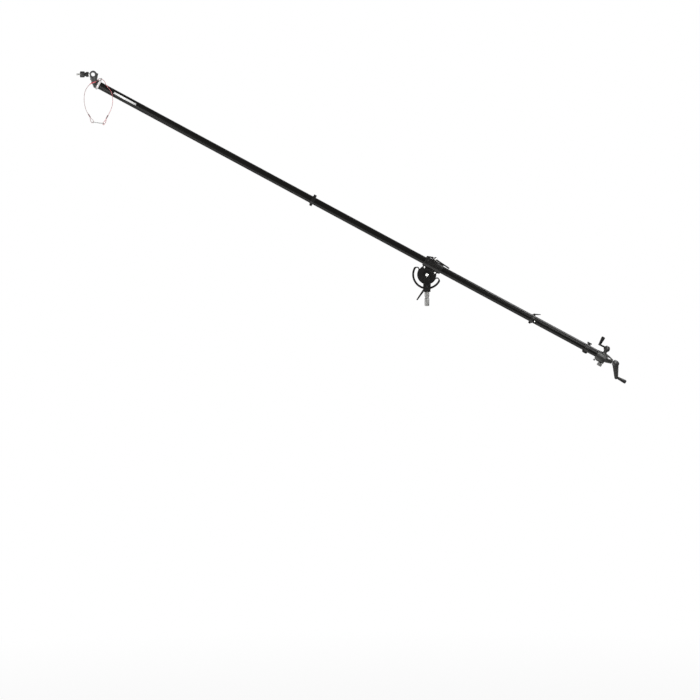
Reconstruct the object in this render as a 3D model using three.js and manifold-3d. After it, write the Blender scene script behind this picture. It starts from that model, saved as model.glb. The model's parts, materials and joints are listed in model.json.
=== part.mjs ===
// Overhead boom arm: a long two-arm tube boom in a tilting clamp saddle, with a remote
// pan and tilt head worked by two cranks. Millimetres, +Z up, front of the boom at -X.
// The origin is the middle of the seat where the fork bracket stands on its spigot.
import * as THREE from 'three';
import { mergeVertices } from 'three/addons/utils/BufferGeometryUtils.js';
import Module from 'manifold-3d';

const wasm = await Module();
wasm.setup();

// Clearances and build values
const gap = 0.3;
const runningGap = 0.5;
const overrun = 2;
const sink = 1;
const weld = 0.0001;
const roundSides = 18;
const smallSides = 12;

// Stance of the boom: the lock bolt runs in the quadrant's slot below the pivot
const lockHeight = 33.5;
const lockRadius = 70.5;
const pivotHeight = lockHeight + lockRadius;
const tubeRise = 68;
const restTilt = THREE.MathUtils.degToRad(28.4);

// Boom tubes
const tubeOuter = 22.5;
const tubeWall = 2.5;
const frontEnd = -2302;
const frontJoint = -828;
const rearJoint = 692;
const tubeRearEnd = 1142;
const sleeveWall = 2.7;
const sleeveHalf = 80;

// Remote head
const headAlong = -2368;
const headRise = 40;
const hubOuter = 22;
const hubBore = 10;
const neckHalfWidth = 19;
const rollTubeOuter = 12.5;
const rollTubeWall = 2;
const tiltShaftRadius = 6;

// Gearbox
const crankAxis = 1182;
const noseStart = 1205;
const noseEnd = 1249;

// Colours and finishes
const finish = (color, roughness, metalness) =>
  new THREE.MeshStandardMaterial({ color, roughness, metalness });
const anodisedBlack = finish(0x23221f, 0.38, 0.6);
const castBlack = finish(0x1d1c1a, 0.6, 0.2);
const zincBright = finish(0xd8d8d6, 0.25, 1);
const steelGrey = finish(0x9b9b98, 0.35, 1);
const steelBlack = finish(0x252423, 0.45, 0.8);
const nylonWhite = finish(0xe9e6e2, 0.5, 0);
const plasticBlack = finish(0x191817, 0.55, 0);
const plasticGrey = finish(0x8b8a87, 0.5, 0);
const brassYellow = finish(0xb59a56, 0.35, 1);
const cableRed = finish(0xb4283c, 0.4, 0);

const tubeInner = tubeOuter - tubeWall;
const rollTubeInner = rollTubeOuter - rollTubeWall;

// Closed solids out of plain geometry, and back again
function signedVolume(positions, triangles) {
  const corner = [new THREE.Vector3(), new THREE.Vector3(), new THREE.Vector3()];
  let volume = 0;
  for (let i = 0; i < triangles.length; i += 3) {
    corner.forEach((point, k) => point.fromArray(positions, triangles[i + k] * 3));
    volume += corner[0].dot(corner[1].clone().cross(corner[2]));
  }
  return volume;
}

function solid(geometry) {
  const bare = geometry.clone();
  bare.deleteAttribute('normal');
  bare.deleteAttribute('uv');
  const merged = mergeVertices(bare, weld);
  const positions = merged.attributes.position.array;
  const source = merged.index.array;
  const triangles = [];
  for (let i = 0; i < source.length; i += 3) {
    const [a, b, c] = [source[i], source[i + 1], source[i + 2]];
    if (a !== b && b !== c && c !== a) triangles.push(a, b, c);
  }
  if (signedVolume(positions, triangles) < 0) triangles.reverse();
  return new wasm.Manifold(new wasm.Mesh({
    numProp: 3,
    vertProperties: new Float32Array(positions),
    triVerts: new Uint32Array(triangles),
  }));
}

function join(first, ...others) {
  return others.reduce((whole, piece) => whole.add(piece), first);
}

function cut(whole, ...tools) {
  return tools.reduce((left, tool) => left.subtract(tool), whole);
}

function common(first, second) {
  return first.intersect(second);
}

function asGeometry(body) {
  const mesh = body.getMesh();
  const geometry = new THREE.BufferGeometry();
  geometry.setAttribute('position', new THREE.BufferAttribute(new Float32Array(mesh.vertProperties), 3));
  geometry.setIndex(new THREE.BufferAttribute(new Uint32Array(mesh.triVerts), 1));
  geometry.computeVertexNormals();
  return geometry;
}

// Basic forms: a turned form along x, y or z, a plate in the X-Z plane, and a block
function turned(profile, axis, sides = roundSides) {
  const geometry = new THREE.LatheGeometry(profile.map((p) => new THREE.Vector2(p[0], p[1])), sides);
  if (axis === 'x') geometry.rotateZ(-Math.PI / 2);
  if (axis === 'z') geometry.rotateX(Math.PI / 2);
  return solid(geometry);
}

function rod(radius, from, to, axis, sides = smallSides) {
  return turned([[0, from], [radius, from], [radius, to], [0, to]], axis, sides);
}

function ring(outer, inner, from, to, axis, sides = roundSides) {
  const profile = [[inner, from], [outer, from], [outer, to], [inner, to], [inner, from]];
  return turned(profile, axis, sides);
}

function plate(shape, back, front, curveSegments = 4) {
  const geometry = new THREE.ExtrudeGeometry(shape, {
    depth: front - back, bevelEnabled: false, curveSegments,
  });
  geometry.rotateX(Math.PI / 2);
  geometry.translate(0, front, 0);
  return solid(geometry);
}

function outline(points) {
  return new THREE.Shape(points.map((p) => new THREE.Vector2(p[0], p[1])));
}

// Profile corners given as shares of a radius and of a length
function scaled(shares, radius, from, to) {
  return shares.map(([across, up]) => [across * radius, from + up * (to - from)]);
}

function block(x0, x1, y0, y1, z0, z1) {
  const geometry = new THREE.BoxGeometry(x1 - x0, y1 - y0, z1 - z0);
  geometry.translate((x0 + x1) / 2, (y0 + y1) / 2, (z0 + z1) / 2);
  return solid(geometry);
}

function hexagon(acrossCorners, from, to, axis) {
  return rod(acrossCorners / 2, from, to, axis, 6);
}

function moved(body, x, y, z) {
  return body.translate([x, y, z]);
}

// An arm that tapers from one round boss to another, as a plate in the X-Z plane
function armShape(fromPoint, fromRadius, toPoint, toRadius) {
  const start = new THREE.Vector2(...fromPoint);
  const end = new THREE.Vector2(...toPoint);
  const heading = end.clone().sub(start).angle();
  const spread = Math.acos((fromRadius - toRadius) / start.distanceTo(end));
  const shape = new THREE.Shape();
  shape.absarc(start.x, start.y, fromRadius, heading + spread, heading - spread + 2 * Math.PI, false);
  shape.absarc(end.x, end.y, toRadius, heading - spread, heading + spread, false);
  return shape;
}

const boomArm = new THREE.Group();
const tilting = new THREE.Group();
tilting.position.z = pivotHeight;
tilting.rotation.y = restTilt;
boomArm.add(tilting);
const along = new THREE.Group();
along.position.z = tubeRise;
tilting.add(along);

function piece(parent, name, body, material) {
  const mesh = new THREE.Mesh(asGeometry(body), material);
  mesh.name = name;
  parent.add(mesh);
  return mesh;
}

// Spigot that stands in the socket of the stand
const spigotRadius = 14.3;
const spigotLength = 88;
const spigotChamfer = 3;
const tenonRadius = 8;
const tenonLength = 11;
const grooveDepth = 2.6;
const grooveTop = -30;
const grooveBottom = -42;
piece(boomArm, 'stand_spigot', turned([
  [0, -spigotLength],
  [spigotRadius - spigotChamfer, -spigotLength],
  [spigotRadius, spigotChamfer - spigotLength],
  [spigotRadius, grooveBottom],
  [spigotRadius - grooveDepth, grooveBottom + grooveDepth],
  [spigotRadius - grooveDepth, grooveTop - grooveDepth],
  [spigotRadius, grooveTop],
  [spigotRadius, -gap],
  [tenonRadius, -gap],
  [tenonRadius, tenonLength],
  [0, tenonLength],
], 'z'), zincBright);

// Fork bracket: two cheeks on a split block, with the pivot bore and the lock bore
const plateHalf = 4;
const washerThickness = 1.7;
const cheekInner = plateHalf + washerThickness + 2 * gap;
const cheekOuter = cheekInner + 11;
const bossRadius = 17;
const footHalf = 21.5;
const footHeight = 13;
const blockHalf = 23;
const blockTop = 47.5;
const cheekShoulder = 20;
const forkFloor = 13.5;
const pivotBoltRadius = 6;
const lockBoltRadius = 5;
const pocketInset = 5;
const pocketDepth = 2.5;

function forkOutline() {
  const reach = Math.hypot(cheekShoulder, pivotHeight - blockTop);
  const tangent = Math.atan2(blockTop - pivotHeight, cheekShoulder) + Math.acos(bossRadius / reach);
  const shape = new THREE.Shape();
  shape.moveTo(-footHalf, 0);
  shape.lineTo(footHalf, 0);
  shape.lineTo(footHalf, footHeight);
  shape.lineTo(blockHalf, footHeight + blockHalf - footHalf);
  shape.lineTo(blockHalf, blockTop);
  shape.lineTo(cheekShoulder, blockTop);
  shape.absarc(0, pivotHeight, bossRadius, tangent, Math.PI - tangent, false);
  shape.lineTo(-cheekShoulder, blockTop);
  shape.lineTo(-blockHalf, blockTop);
  shape.lineTo(-blockHalf, footHeight + blockHalf - footHalf);
  shape.lineTo(-footHalf, footHeight);
  return shape;
}

const cheekPocket = outline([
  [pocketInset - cheekShoulder, blockTop],
  [cheekShoulder - pocketInset, blockTop],
  [bossRadius - 2 * pocketInset, pivotHeight - bossRadius],
  [2 * pocketInset - bossRadius, pivotHeight - bossRadius],
]);
const forkCore = join(
  plate(forkOutline(), -cheekOuter, cheekOuter, 6),
  block(-blockHalf, blockHalf, -blockHalf, blockHalf, footHeight + blockHalf - footHalf, blockTop),
);
piece(boomArm, 'fork_bracket', cut(
  forkCore,
  block(-2 * blockHalf, 2 * blockHalf, -cheekInner, cheekInner, forkFloor, 2 * pivotHeight),
  moved(rod(pivotBoltRadius + gap, -2 * blockHalf, 2 * blockHalf, 'y'), 0, 0, pivotHeight),
  moved(rod(lockBoltRadius + gap, -2 * blockHalf, 2 * blockHalf, 'y'), 0, 0, lockHeight),
  rod(tenonRadius + gap, -overrun, 2 * forkFloor, 'z'),
  plate(cheekPocket, -cheekOuter - overrun, -cheekOuter + pocketDepth),
  plate(cheekPocket, cheekOuter - pocketDepth, cheekOuter + overrun),
), castBlack);

// A round-headed bolt along y, with its head against the near side of what it holds
const boltHeadShares = [[0, 0], [0.65, 0], [1, 0.5], [1, 1]];

function roundBolt(shankRadius, headRadius, headHeight, seat, tip) {
  return turned([
    ...scaled(boltHeadShares, headRadius, seat - headHeight, seat),
    [shankRadius, seat],
    [shankRadius, tip],
    [0, tip],
  ], 'y', smallSides);
}

// Pivot bolt, its nut and the two friction washers on either side of the quadrant
const pivotHeadRadius = 11;
const pivotHeadHeight = 6;
const pivotNutCorners = 22;
const pivotNutHeight = 10;
const frictionWasher = 16;
piece(boomArm, 'pivot_bolt', moved(roundBolt(
  pivotBoltRadius, pivotHeadRadius, pivotHeadHeight,
  -cheekOuter - gap, cheekOuter + pivotNutHeight + overrun,
), 0, 0, pivotHeight), zincBright);
piece(boomArm, 'pivot_nut', moved(cut(
  hexagon(pivotNutCorners, cheekOuter + gap, cheekOuter + pivotNutHeight, 'y'),
  rod(pivotBoltRadius + gap, 0, 2 * cheekOuter, 'y'),
), 0, 0, pivotHeight), zincBright);
for (const [name, side] of [['front', -1], ['rear', 1]]) {
  const near = side * (plateHalf + gap);
  const far = side * (plateHalf + gap + washerThickness);
  piece(boomArm, `friction_washer_${name}`, moved(
    ring(frictionWasher, pivotBoltRadius + gap, Math.min(near, far), Math.max(near, far), 'y', smallSides),
    0, 0, pivotHeight,
  ), brassYellow);
}

// Lock bolt through the quadrant slot, its bush, and the lever nut behind
const slotHalfWidth = 10.5;
const slotInner = lockRadius - slotHalfWidth;
const slotOuter = lockRadius + slotHalfWidth;
const lockHeadRadius = 8.5;
const lockHeadHeight = 5;
const leverHubRadius = 11;
const leverHubLength = 14;
const leverNear = blockHalf + gap;
const leverFar = leverNear + leverHubLength;
const leverArmLength = 104;
const leverArmEnd = 4;
const leverArmThickness = 9;
const leverRootShare = 0.7;
const leverAngle = THREE.MathUtils.degToRad(-124.8);
piece(boomArm, 'lock_bolt', moved(roundBolt(
  lockBoltRadius, lockHeadRadius, lockHeadHeight, -blockHalf - gap, leverFar + overrun,
), 0, 0, lockHeight), steelBlack);
const bushHalf = cheekInner - gap;
piece(boomArm, 'slot_bush', moved(
  ring(slotHalfWidth - runningGap, lockBoltRadius + gap, -bushHalf, bushHalf, 'y', smallSides),
  0, 0, lockHeight,
), brassYellow);
const lockArm = armShape(
  [0, 0], leverHubRadius * leverRootShare,
  [leverArmLength * Math.cos(leverAngle), leverArmLength * Math.sin(leverAngle)], leverArmEnd,
);
piece(boomArm, 'tilt_lock_lever', moved(cut(
  join(
    rod(leverHubRadius, leverNear, leverFar, 'y'),
    plate(lockArm, leverFar - leverArmThickness, leverFar),
  ),
  rod(lockBoltRadius + gap, 0, 2 * leverFar, 'y'),
), 0, 0, lockHeight), castBlack);

// Quadrant plate: a disc on the pivot and a slotted half ring below the boom
const quadrantWeb = 7;
const quadrantOuter = slotOuter + quadrantWeb;
const discRadius = 57;
const slotHalfAngle = THREE.MathUtils.degToRad(88.5);
const saddleBoltAlong = 36;
const saddleBoltRise = 34;
const saddleBoltRadius = 4;
const plateTop = 40.3;
const plateTopHalf = 48;
const slotArcSteps = 8;

function slotBand(inner, outer, capRadius) {
  const from = -Math.PI / 2 - slotHalfAngle;
  const to = -Math.PI / 2 + slotHalfAngle;
  const first = [lockRadius * Math.cos(from), lockRadius * Math.sin(from)];
  const last = [lockRadius * Math.cos(to), lockRadius * Math.sin(to)];
  const shape = new THREE.Shape();
  shape.absarc(0, 0, outer, from, to, false);
  shape.absarc(...last, capRadius, to, to + Math.PI, false);
  shape.absarc(0, 0, inner, to, from, true);
  shape.absarc(...first, capRadius, from + Math.PI, from, false);
  return shape;
}

const bandCap = slotHalfWidth + quadrantWeb;
const saddleBolts = [-saddleBoltAlong, saddleBoltAlong];
piece(tilting, 'quadrant_plate', cut(
  join(
    cut(
      plate(slotBand(lockRadius - bandCap, quadrantOuter, bandCap), -plateHalf, plateHalf, slotArcSteps),
      plate(slotBand(slotInner, slotOuter, slotHalfWidth), -2 * plateHalf, 2 * plateHalf, slotArcSteps),
    ),
    common(
      rod(discRadius, -plateHalf, plateHalf, 'y', roundSides),
      block(-discRadius, discRadius, -2 * plateHalf, 2 * plateHalf, -discRadius, plateTop),
    ),
    block(-plateTopHalf, plateTopHalf, -plateHalf, plateHalf, 0, plateTop),
  ),
  rod(pivotBoltRadius + gap, -2 * plateHalf, 2 * plateHalf, 'y'),
  ...saddleBolts.map((x) =>
    moved(rod(saddleBoltRadius + gap, -2 * plateHalf, 2 * plateHalf, 'y'), x, 0, saddleBoltRise)),
), castBlack);

// Saddle: ribbed lower casting and cap round the tube, each with a plastic liner
const saddleFront = -54;
const saddleRear = 64;
const linerThickness = 1.6;
const linerInner = tubeOuter + gap;
const channelRadius = linerInner + linerThickness + gap;
const saddleShell = 31;
const saddleRib = 33.2;
const ribHalf = 2.5;
const ribPlaces = [-18, 19];
const flangeHalf = 43;
const flangeThickness = 9;
const capScrewSide = 37.5;
const capScrewRadius = 3.5;
const earHalf = 14;
const earLobe = 12;
const earWeb = 26;
const camPinRise = 40;
const camPinRadius = 5;
const camHubHalf = 13;
const pinEarThickness = 7;
const pinEarRadius = 10;
const padHalf = 11;
const capScrewPlaces = { front: [-38, -capScrewSide], rear: [48, capScrewSide] };

function saddleRound(radius, from, to) {
  return rod(radius, from, to, 'x', roundSides);
}

const saddleBlank = join(
  saddleRound(saddleShell, saddleFront, saddleRear),
  ...ribPlaces.map((x) => saddleRound(saddleRib, x - ribHalf, x + ribHalf)),
);
const boreCut = saddleRound(channelRadius, saddleFront - overrun, saddleRear + overrun);
const boltDrop = tubeRise - saddleBoltRise;
const earOutline = new THREE.Shape();
earOutline.moveTo(saddleFront, -channelRadius);
earOutline.absarc(-saddleBoltAlong, -boltDrop, earLobe, Math.PI, 1.5 * Math.PI, false);
earOutline.lineTo(-saddleBoltAlong + earLobe, earWeb - tubeRise);
earOutline.lineTo(saddleBoltAlong - earLobe, earWeb - tubeRise);
earOutline.absarc(saddleBoltAlong, -boltDrop, earLobe, 1.5 * Math.PI, 2 * Math.PI, false);
earOutline.lineTo(saddleRear, -channelRadius);

const capScrewHoles = Object.values(capScrewPlaces).map(([x, y]) =>
  moved(rod(capScrewRadius + gap, -2 * flangeThickness, 2 * flangeThickness, 'z', smallSides), x, y, 0));
const saddleBoltHoles = saddleBolts.map((x) =>
  moved(rod(saddleBoltRadius + gap, -2 * earHalf, 2 * earHalf, 'y'), x, 0, -boltDrop));
const halfSpace = 2 * flangeHalf;
const sliceAt = (low, high) => block(2 * saddleFront, 2 * saddleRear, -halfSpace, halfSpace, low, high);
const lowerHalf = sliceAt(-halfSpace, -runningGap);
const upperHalf = sliceAt(runningGap, halfSpace);
const flangeBlock = (low, high) =>
  block(saddleFront + overrun, saddleRear - overrun, -flangeHalf, flangeHalf, low, high);
piece(along, 'saddle_body', cut(
  join(
    common(join(saddleBlank, flangeBlock(-flangeThickness, flangeThickness)), lowerHalf),
    plate(earOutline, -earHalf, earHalf),
  ),
  boreCut,
  block(
    2 * saddleFront, 2 * saddleRear, -plateHalf - gap, plateHalf + gap,
    -2 * tubeRise, plateTop + gap - tubeRise,
  ),
  ...capScrewHoles,
  ...saddleBoltHoles,
), castBlack);

const capTop = 32.4;
const capEnd = 27.5;
const capProfile = outline([
  [saddleFront, -overrun],
  [saddleRear, -overrun],
  [saddleRear, capEnd],
  [ribPlaces[1] + 4 * ribHalf, capTop],
  [ribPlaces[1] + ribHalf, saddleRib],
  [ribPlaces[0] - ribHalf, saddleRib],
  [ribPlaces[0] - 4 * ribHalf, capTop],
  [saddleFront, capEnd],
]);
const capShell = common(
  common(join(saddleBlank, flangeBlock(-flangeThickness, flangeThickness)), upperHalf),
  plate(capProfile, -halfSpace, halfSpace),
);
const pinEarFootShare = 1.4;
const pinEar = armShape(
  [0, camPinRise - 2 * pinEarRadius], pinEarFootShare * pinEarRadius,
  [0, camPinRise], pinEarRadius,
);
const pinEarSides = [-1, 1].map((side) => {
  const near = side * (camHubHalf + gap);
  const far = side * (camHubHalf + gap + pinEarThickness);
  return plate(pinEar, Math.min(near, far), Math.max(near, far));
});
piece(along, 'saddle_cap', cut(
  join(capShell, ...pinEarSides.map((ear) => common(ear, upperHalf))),
  boreCut,
  block(-padHalf - gap, padHalf + gap, -padHalf - gap, padHalf + gap, 0, 2 * camPinRise),
  moved(rod(camPinRadius + gap, -halfSpace, halfSpace, 'y'), 0, 0, camPinRise),
  ...capScrewHoles,
), castBlack);

const linerEnds = [saddleFront + overrun, saddleRear - overrun];
const linerRing = ring(linerInner + linerThickness, linerInner, ...linerEnds, 'x');
piece(along, 'saddle_liner_lower', common(linerRing, lowerHalf), plasticBlack);
piece(along, 'saddle_liner_upper', common(linerRing, upperHalf), plasticBlack);

// Bolts that hold the saddle on the quadrant, and the two cap screws
const saddleHeadRadius = 6.5;
const saddleHeadHeight = 5;
const capHeadShare = 1.6;
const capHeadHeight = 7;
for (const [name, x] of [['front', -saddleBoltAlong], ['rear', saddleBoltAlong]]) {
  piece(along, `saddle_bolt_${name}`, moved(roundBolt(
    saddleBoltRadius, saddleHeadRadius, saddleHeadHeight, -earHalf - gap, earHalf,
  ), x, 0, -boltDrop), zincBright);
}
for (const [name, [x, y]] of Object.entries(capScrewPlaces)) {
  piece(along, `cap_screw_${name}`, moved(join(
    rod(capScrewRadius, -flangeThickness, flangeThickness + gap + sink, 'z'),
    rod(capHeadShare * capScrewRadius, flangeThickness + gap, flangeThickness + gap + capHeadHeight, 'z'),
  ), x, y, 0), steelBlack);
}

// Cam pin, cam lever, its catch plate, and the pad that the cam presses on the liner
const pinEarOuter = camHubHalf + gap + pinEarThickness;
const pinHeadRadius = 7;
const pinHeadHeight = 5;
const camRadius = 9.5;
const camThrow = 1.5;
const camLeverEnd = [98, 29.5];
const camLeverThick = 3.8;
const camLeverHalf = 11;
const catchHalf = 8;
const catchLip = 5;
const catchRise = 44;
const catchTip = -13.5;
const catchBend = -21;
piece(along, 'cam_pin', moved(
  roundBolt(camPinRadius, pinHeadRadius, pinHeadHeight, -pinEarOuter - gap, pinEarOuter), 0, 0, camPinRise,
), zincBright);
piece(along, 'cam_lever', cut(
  join(
    moved(rod(camRadius, -camHubHalf, camHubHalf, 'y'), 0, 0, camPinRise - camThrow),
    plate(
      armShape([camRadius, camPinRise - camThrow], camLeverThick, camLeverEnd, camLeverThick),
      -camLeverHalf, camLeverHalf,
    ),
  ),
  moved(rod(camPinRadius + gap, -halfSpace, halfSpace, 'y'), 0, 0, camPinRise),
), castBlack);
const catchPlate = outline([
  [saddleFront, capEnd + gap],
  [ribPlaces[0] - 4 * ribHalf, capTop + gap],
  [ribPlaces[0] - ribHalf, saddleRib + 2 * gap],
  [catchTip, saddleRib + 2 * gap],
  [catchTip, catchRise],
  [catchBend, catchRise],
  [saddleFront, capEnd + catchLip],
]);
piece(along, 'lever_catch', plate(catchPlate, -catchHalf, catchHalf), castBlack);
piece(along, 'pressure_pad', cut(
  block(-padHalf, padHalf, -padHalf, padHalf, 0, camPinRise - camThrow - camRadius - gap),
  saddleRound(channelRadius, -2 * padHalf, 2 * padHalf),
), steelGrey);

// Boom tubes, joined end to end over inner sleeves
const tubes = {
  front_tube: [frontEnd, frontJoint],
  main_tube: [frontJoint, rearJoint],
  rear_tube: [rearJoint, tubeRearEnd],
};
for (const [name, [from, to]] of Object.entries(tubes)) {
  piece(along, name, ring(tubeOuter, tubeInner, from + gap / 2, to - gap / 2, 'x'), anodisedBlack);
}
const sleeveOuter = tubeInner - gap;
const joints = { front_joint_sleeve: frontJoint, rear_joint_sleeve: rearJoint };
for (const [name, x] of Object.entries(joints)) {
  piece(along, name, ring(
    sleeveOuter, sleeveOuter - sleeveWall, x - sleeveHalf, x + sleeveHalf, 'x',
  ), steelGrey);
}

// Clamp collars: a split ring with a lug below and a seat for a screw on top
const collarInner = tubeOuter + gap;
const collarOuter = 26.5;
const collarHalf = 11;
const lugHalf = 7;
const lugDrop = 36;
const screwSeat = 29;
const splitHalf = 1;

function clampCollar(half, lugDepth, lugFrom, lugTo, seatRadius, seatTop) {
  return cut(
    join(
      ring(collarOuter, collarInner, -half, half, 'x'),
      block(lugFrom, lugTo, -lugHalf, lugHalf, -lugDepth, -collarInner - gap),
      rod(seatRadius, collarInner + gap, seatTop, 'z', smallSides),
    ),
    rod(collarInner, -2 * half, 2 * half, 'x', roundSides),
    block(-3 * half, 3 * half, -splitHalf, splitHalf, -2 * lugDepth, -collarInner + overrun),
  );
}

const knobStem = 3;
const seatRadius = 7.5;
const frontLug = [-6, 10];
const frontKnobRadius = 10;
const frontKnobHeight = 7.5;
const knobEase = 1.5;
const stemHole = rod(knobStem + gap, 0, 2 * screwSeat, 'z');

function easedKnob(radius, from, to) {
  return turned([
    [0, from], [radius - knobEase, from], [radius, from + knobEase],
    [radius, to - knobEase], [radius - knobEase, to], [0, to],
  ], 'z', smallSides);
}

piece(along, 'front_joint_collar', moved(cut(
  clampCollar(collarHalf, lugDrop, ...frontLug, seatRadius, screwSeat), stemHole,
), frontJoint, 0, 0), castBlack);
piece(along, 'front_joint_knob', moved(join(
  rod(knobStem, collarInner + gap, screwSeat + overrun, 'z'),
  easedKnob(frontKnobRadius, screwSeat + gap, screwSeat + frontKnobHeight),
), frontJoint, 0, 0), plasticBlack);

// Rear joint: the same collar drawn tight by a small lever on two ears
const rearLug = [-9, 5];
const rearLugDrop = 34;
const rearSeatRadius = 6;
const jointLeverRise = 29;
const jointEarRadius = 5;
const jointEarFoot = 9;
const jointEarHalf = 8;
const jointSlotHalf = 3.5;
const jointSlotDepth = 5;
const jointLeverEnd = [34, 46];
const jointLeverRadii = [4.5, 1.8];
piece(along, 'rear_joint_collar', moved(cut(
  join(
    clampCollar(collarHalf, rearLugDrop, ...rearLug, rearSeatRadius, collarOuter),
    common(
      plate(
        armShape([0, collarInner - overrun], jointEarFoot, [0, jointLeverRise], jointEarRadius),
        -jointEarHalf, jointEarHalf,
      ),
      block(-collarHalf, collarHalf, -jointEarHalf, jointEarHalf, collarInner + gap, 2 * jointLeverRise),
    ),
  ),
  rod(collarInner, -2 * collarHalf, 2 * collarHalf, 'x', roundSides),
  block(
    -collarHalf, collarHalf, -jointSlotHalf - gap, jointSlotHalf + gap,
    jointLeverRise - jointSlotDepth, 2 * jointLeverRise,
  ),
), rearJoint, 0, 0), castBlack);
piece(along, 'rear_joint_lever', moved(plate(
  armShape([0, jointLeverRise], jointLeverRadii[0], jointLeverEnd, jointLeverRadii[1]),
  -jointSlotHalf, jointSlotHalf,
), rearJoint, 0, 0), castBlack);

// End collar, which clamps the rear tube on the spigot of the gearbox, and its T-knob
const endCollarAlong = 1073;
const endCollarHalf = 12;
const bulgeFrom = [-8, -22];
const bulgeTo = [6, -24];
const bulgeRadii = [12, 9];
const bulgeHalf = 9;
const teeHalf = 12;
const teeTop = 41;
const teeHeight = 10;
const teeHalfWidth = 6;
const teeNeck = 7.2;
piece(along, 'end_collar', moved(cut(
  join(
    ring(collarOuter, collarInner, -endCollarHalf, endCollarHalf, 'x'),
    common(
      plate(armShape(bulgeFrom, bulgeRadii[0], bulgeTo, bulgeRadii[1]), -bulgeHalf, bulgeHalf),
      block(-4 * endCollarHalf, 4 * endCollarHalf, -bulgeHalf, bulgeHalf, -2 * lugDrop, -collarInner - gap),
    ),
    rod(seatRadius, collarInner + gap, screwSeat, 'z', smallSides),
  ),
  rod(collarInner, -4 * endCollarHalf, 4 * endCollarHalf, 'x', roundSides),
  stemHole,
), endCollarAlong, 0, 0), castBlack);
piece(along, 'end_collar_knob', moved(join(
  rod(knobStem, collarInner + gap, teeTop - overrun, 'z'),
  rod(teeNeck, screwSeat + gap, teeTop - teeHeight + sink, 'z'),
  block(-teeHalf, teeHalf, -teeHalfWidth, teeHalfWidth, teeTop - teeHeight, teeTop),
), endCollarAlong, 0, 0), plasticBlack);

// Straight bevel gears of 45 degrees that share an apex; the gear lies at -z of the apex
const bevelRootShare = 0.475;
const bevelTipShare = 0.2;
const toothSinkShare = 1.6;

function bevelBack({ pitchRadius, dedendum, back }) {
  return pitchRadius + dedendum * Math.SQRT1_2 + back;
}

function bevelGear({ teeth, pitchRadius, face, addendum, dedendum, bore, back }) {
  const slant = pitchRadius * Math.SQRT2;
  const pitch = 2 * Math.PI * pitchRadius / teeth;
  const place = (s, h) => [(s + h) * Math.SQRT1_2, (h - s) * Math.SQRT1_2];
  const small = slant - face;
  const rootSmall = place(small, -dedendum * small / slant);
  const rootLarge = place(slant, -dedendum);
  const body = turned([
    [bore, rootSmall[1]],
    rootSmall,
    rootLarge,
    [rootLarge[0], rootLarge[1] - back],
    [bore, rootLarge[1] - back],
    [bore, rootSmall[1]],
  ], 'z', teeth).rotate([0, 0, 180 / teeth]);
  const tooth = new THREE.BoxGeometry(1, 1, 1);
  const corners = tooth.attributes.position;
  for (let i = 0; i < corners.count; i += 1) {
    const s = corners.getZ(i) > 0 ? slant : small;
    const high = corners.getY(i) > 0;
    const scale = s / slant;
    const [radius, z] = place(s, (high ? addendum : -dedendum * toothSinkShare) * scale);
    const width = pitch * scale * (high ? bevelTipShare : bevelRootShare);
    corners.setXYZ(i, radius, Math.sign(corners.getX(i)) * width / 2, z);
  }
  const toothSolid = solid(tooth);
  const turns = Array.from({ length: teeth }, (_, k) => toothSolid.rotate([0, 0, k * 360 / teeth]));
  return join(body, ...turns);
}

// Gearbox: cast housing with a spigot in the rear tube, a top boss and a round bottom
const mitre = { teeth: 12, pitchRadius: 16, face: 7, addendum: 1.5, dedendum: 2.2, back: 4 };
const mitreRoom = mitre.pitchRadius + mitre.addendum + 2 * runningGap;
const chamberRadius = 20.5;
const chamberStart = 1148;
const spigotStart = 1040;
const bellyDrop = 40;
const bellyFront = 31;
const bellyTaper = 18;
const bellyRise = 1;
const housingHalf = 27;
const housingFront = 23.5;
const housingTop = 26;
const bossTop = 30;
const bossOuter = 13;
const pinionPocket = 22;
const crankShaftRadius = 6;
const brakeOffset = 6;
const brakeAlong = crankAxis + brakeOffset;
const brakeBoss = 8;
const brakeBossDrop = 2;
const bellyProfile = outline([
  [tubeRearEnd + gap, -bellyFront],
  [tubeRearEnd + bellyTaper, -bellyDrop],
  [noseStart, bellyRise - bellyDrop],
  [noseStart, housingTop],
  [tubeRearEnd + bellyTaper, housingTop],
  [tubeRearEnd + gap, housingFront],
]);
const bellySection = moved(rod(1, tubeRearEnd + gap, noseStart, 'x', roundSides)
  .scale([1, housingHalf, (housingTop + bellyDrop) / 2 + bellyRise]), 0, 0, (housingTop - bellyDrop) / 2);
const housingBody = common(plate(bellyProfile, -housingHalf, housingHalf), bellySection);
piece(along, 'gearbox_housing', cut(
  join(
    housingBody,
    ring(sleeveOuter, sleeveOuter - sleeveWall, spigotStart, tubeRearEnd + overrun, 'x'),
    moved(rod(bossOuter, 0, bossTop, 'z', roundSides), crankAxis, 0, 0),
    moved(rod(brakeBoss, -bellyDrop - brakeBossDrop, 2 * brakeBossDrop - bellyDrop, 'z'), brakeAlong, 0, 0),
  ),
  rod(sleeveOuter - sleeveWall, spigotStart - overrun, chamberStart + sink, 'x', roundSides),
  rod(chamberRadius, chamberStart, noseStart + overrun, 'x', roundSides),
  moved(rod(mitreRoom, 0, pinionPocket, 'z', roundSides), crankAxis, 0, 0),
  moved(rod(crankShaftRadius + gap, 0, 2 * bossTop, 'z'), crankAxis, 0, 0),
  moved(rod(knobStem + gap, -2 * bellyDrop, 0, 'z'), brakeAlong, 0, 0),
), castBlack);

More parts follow.
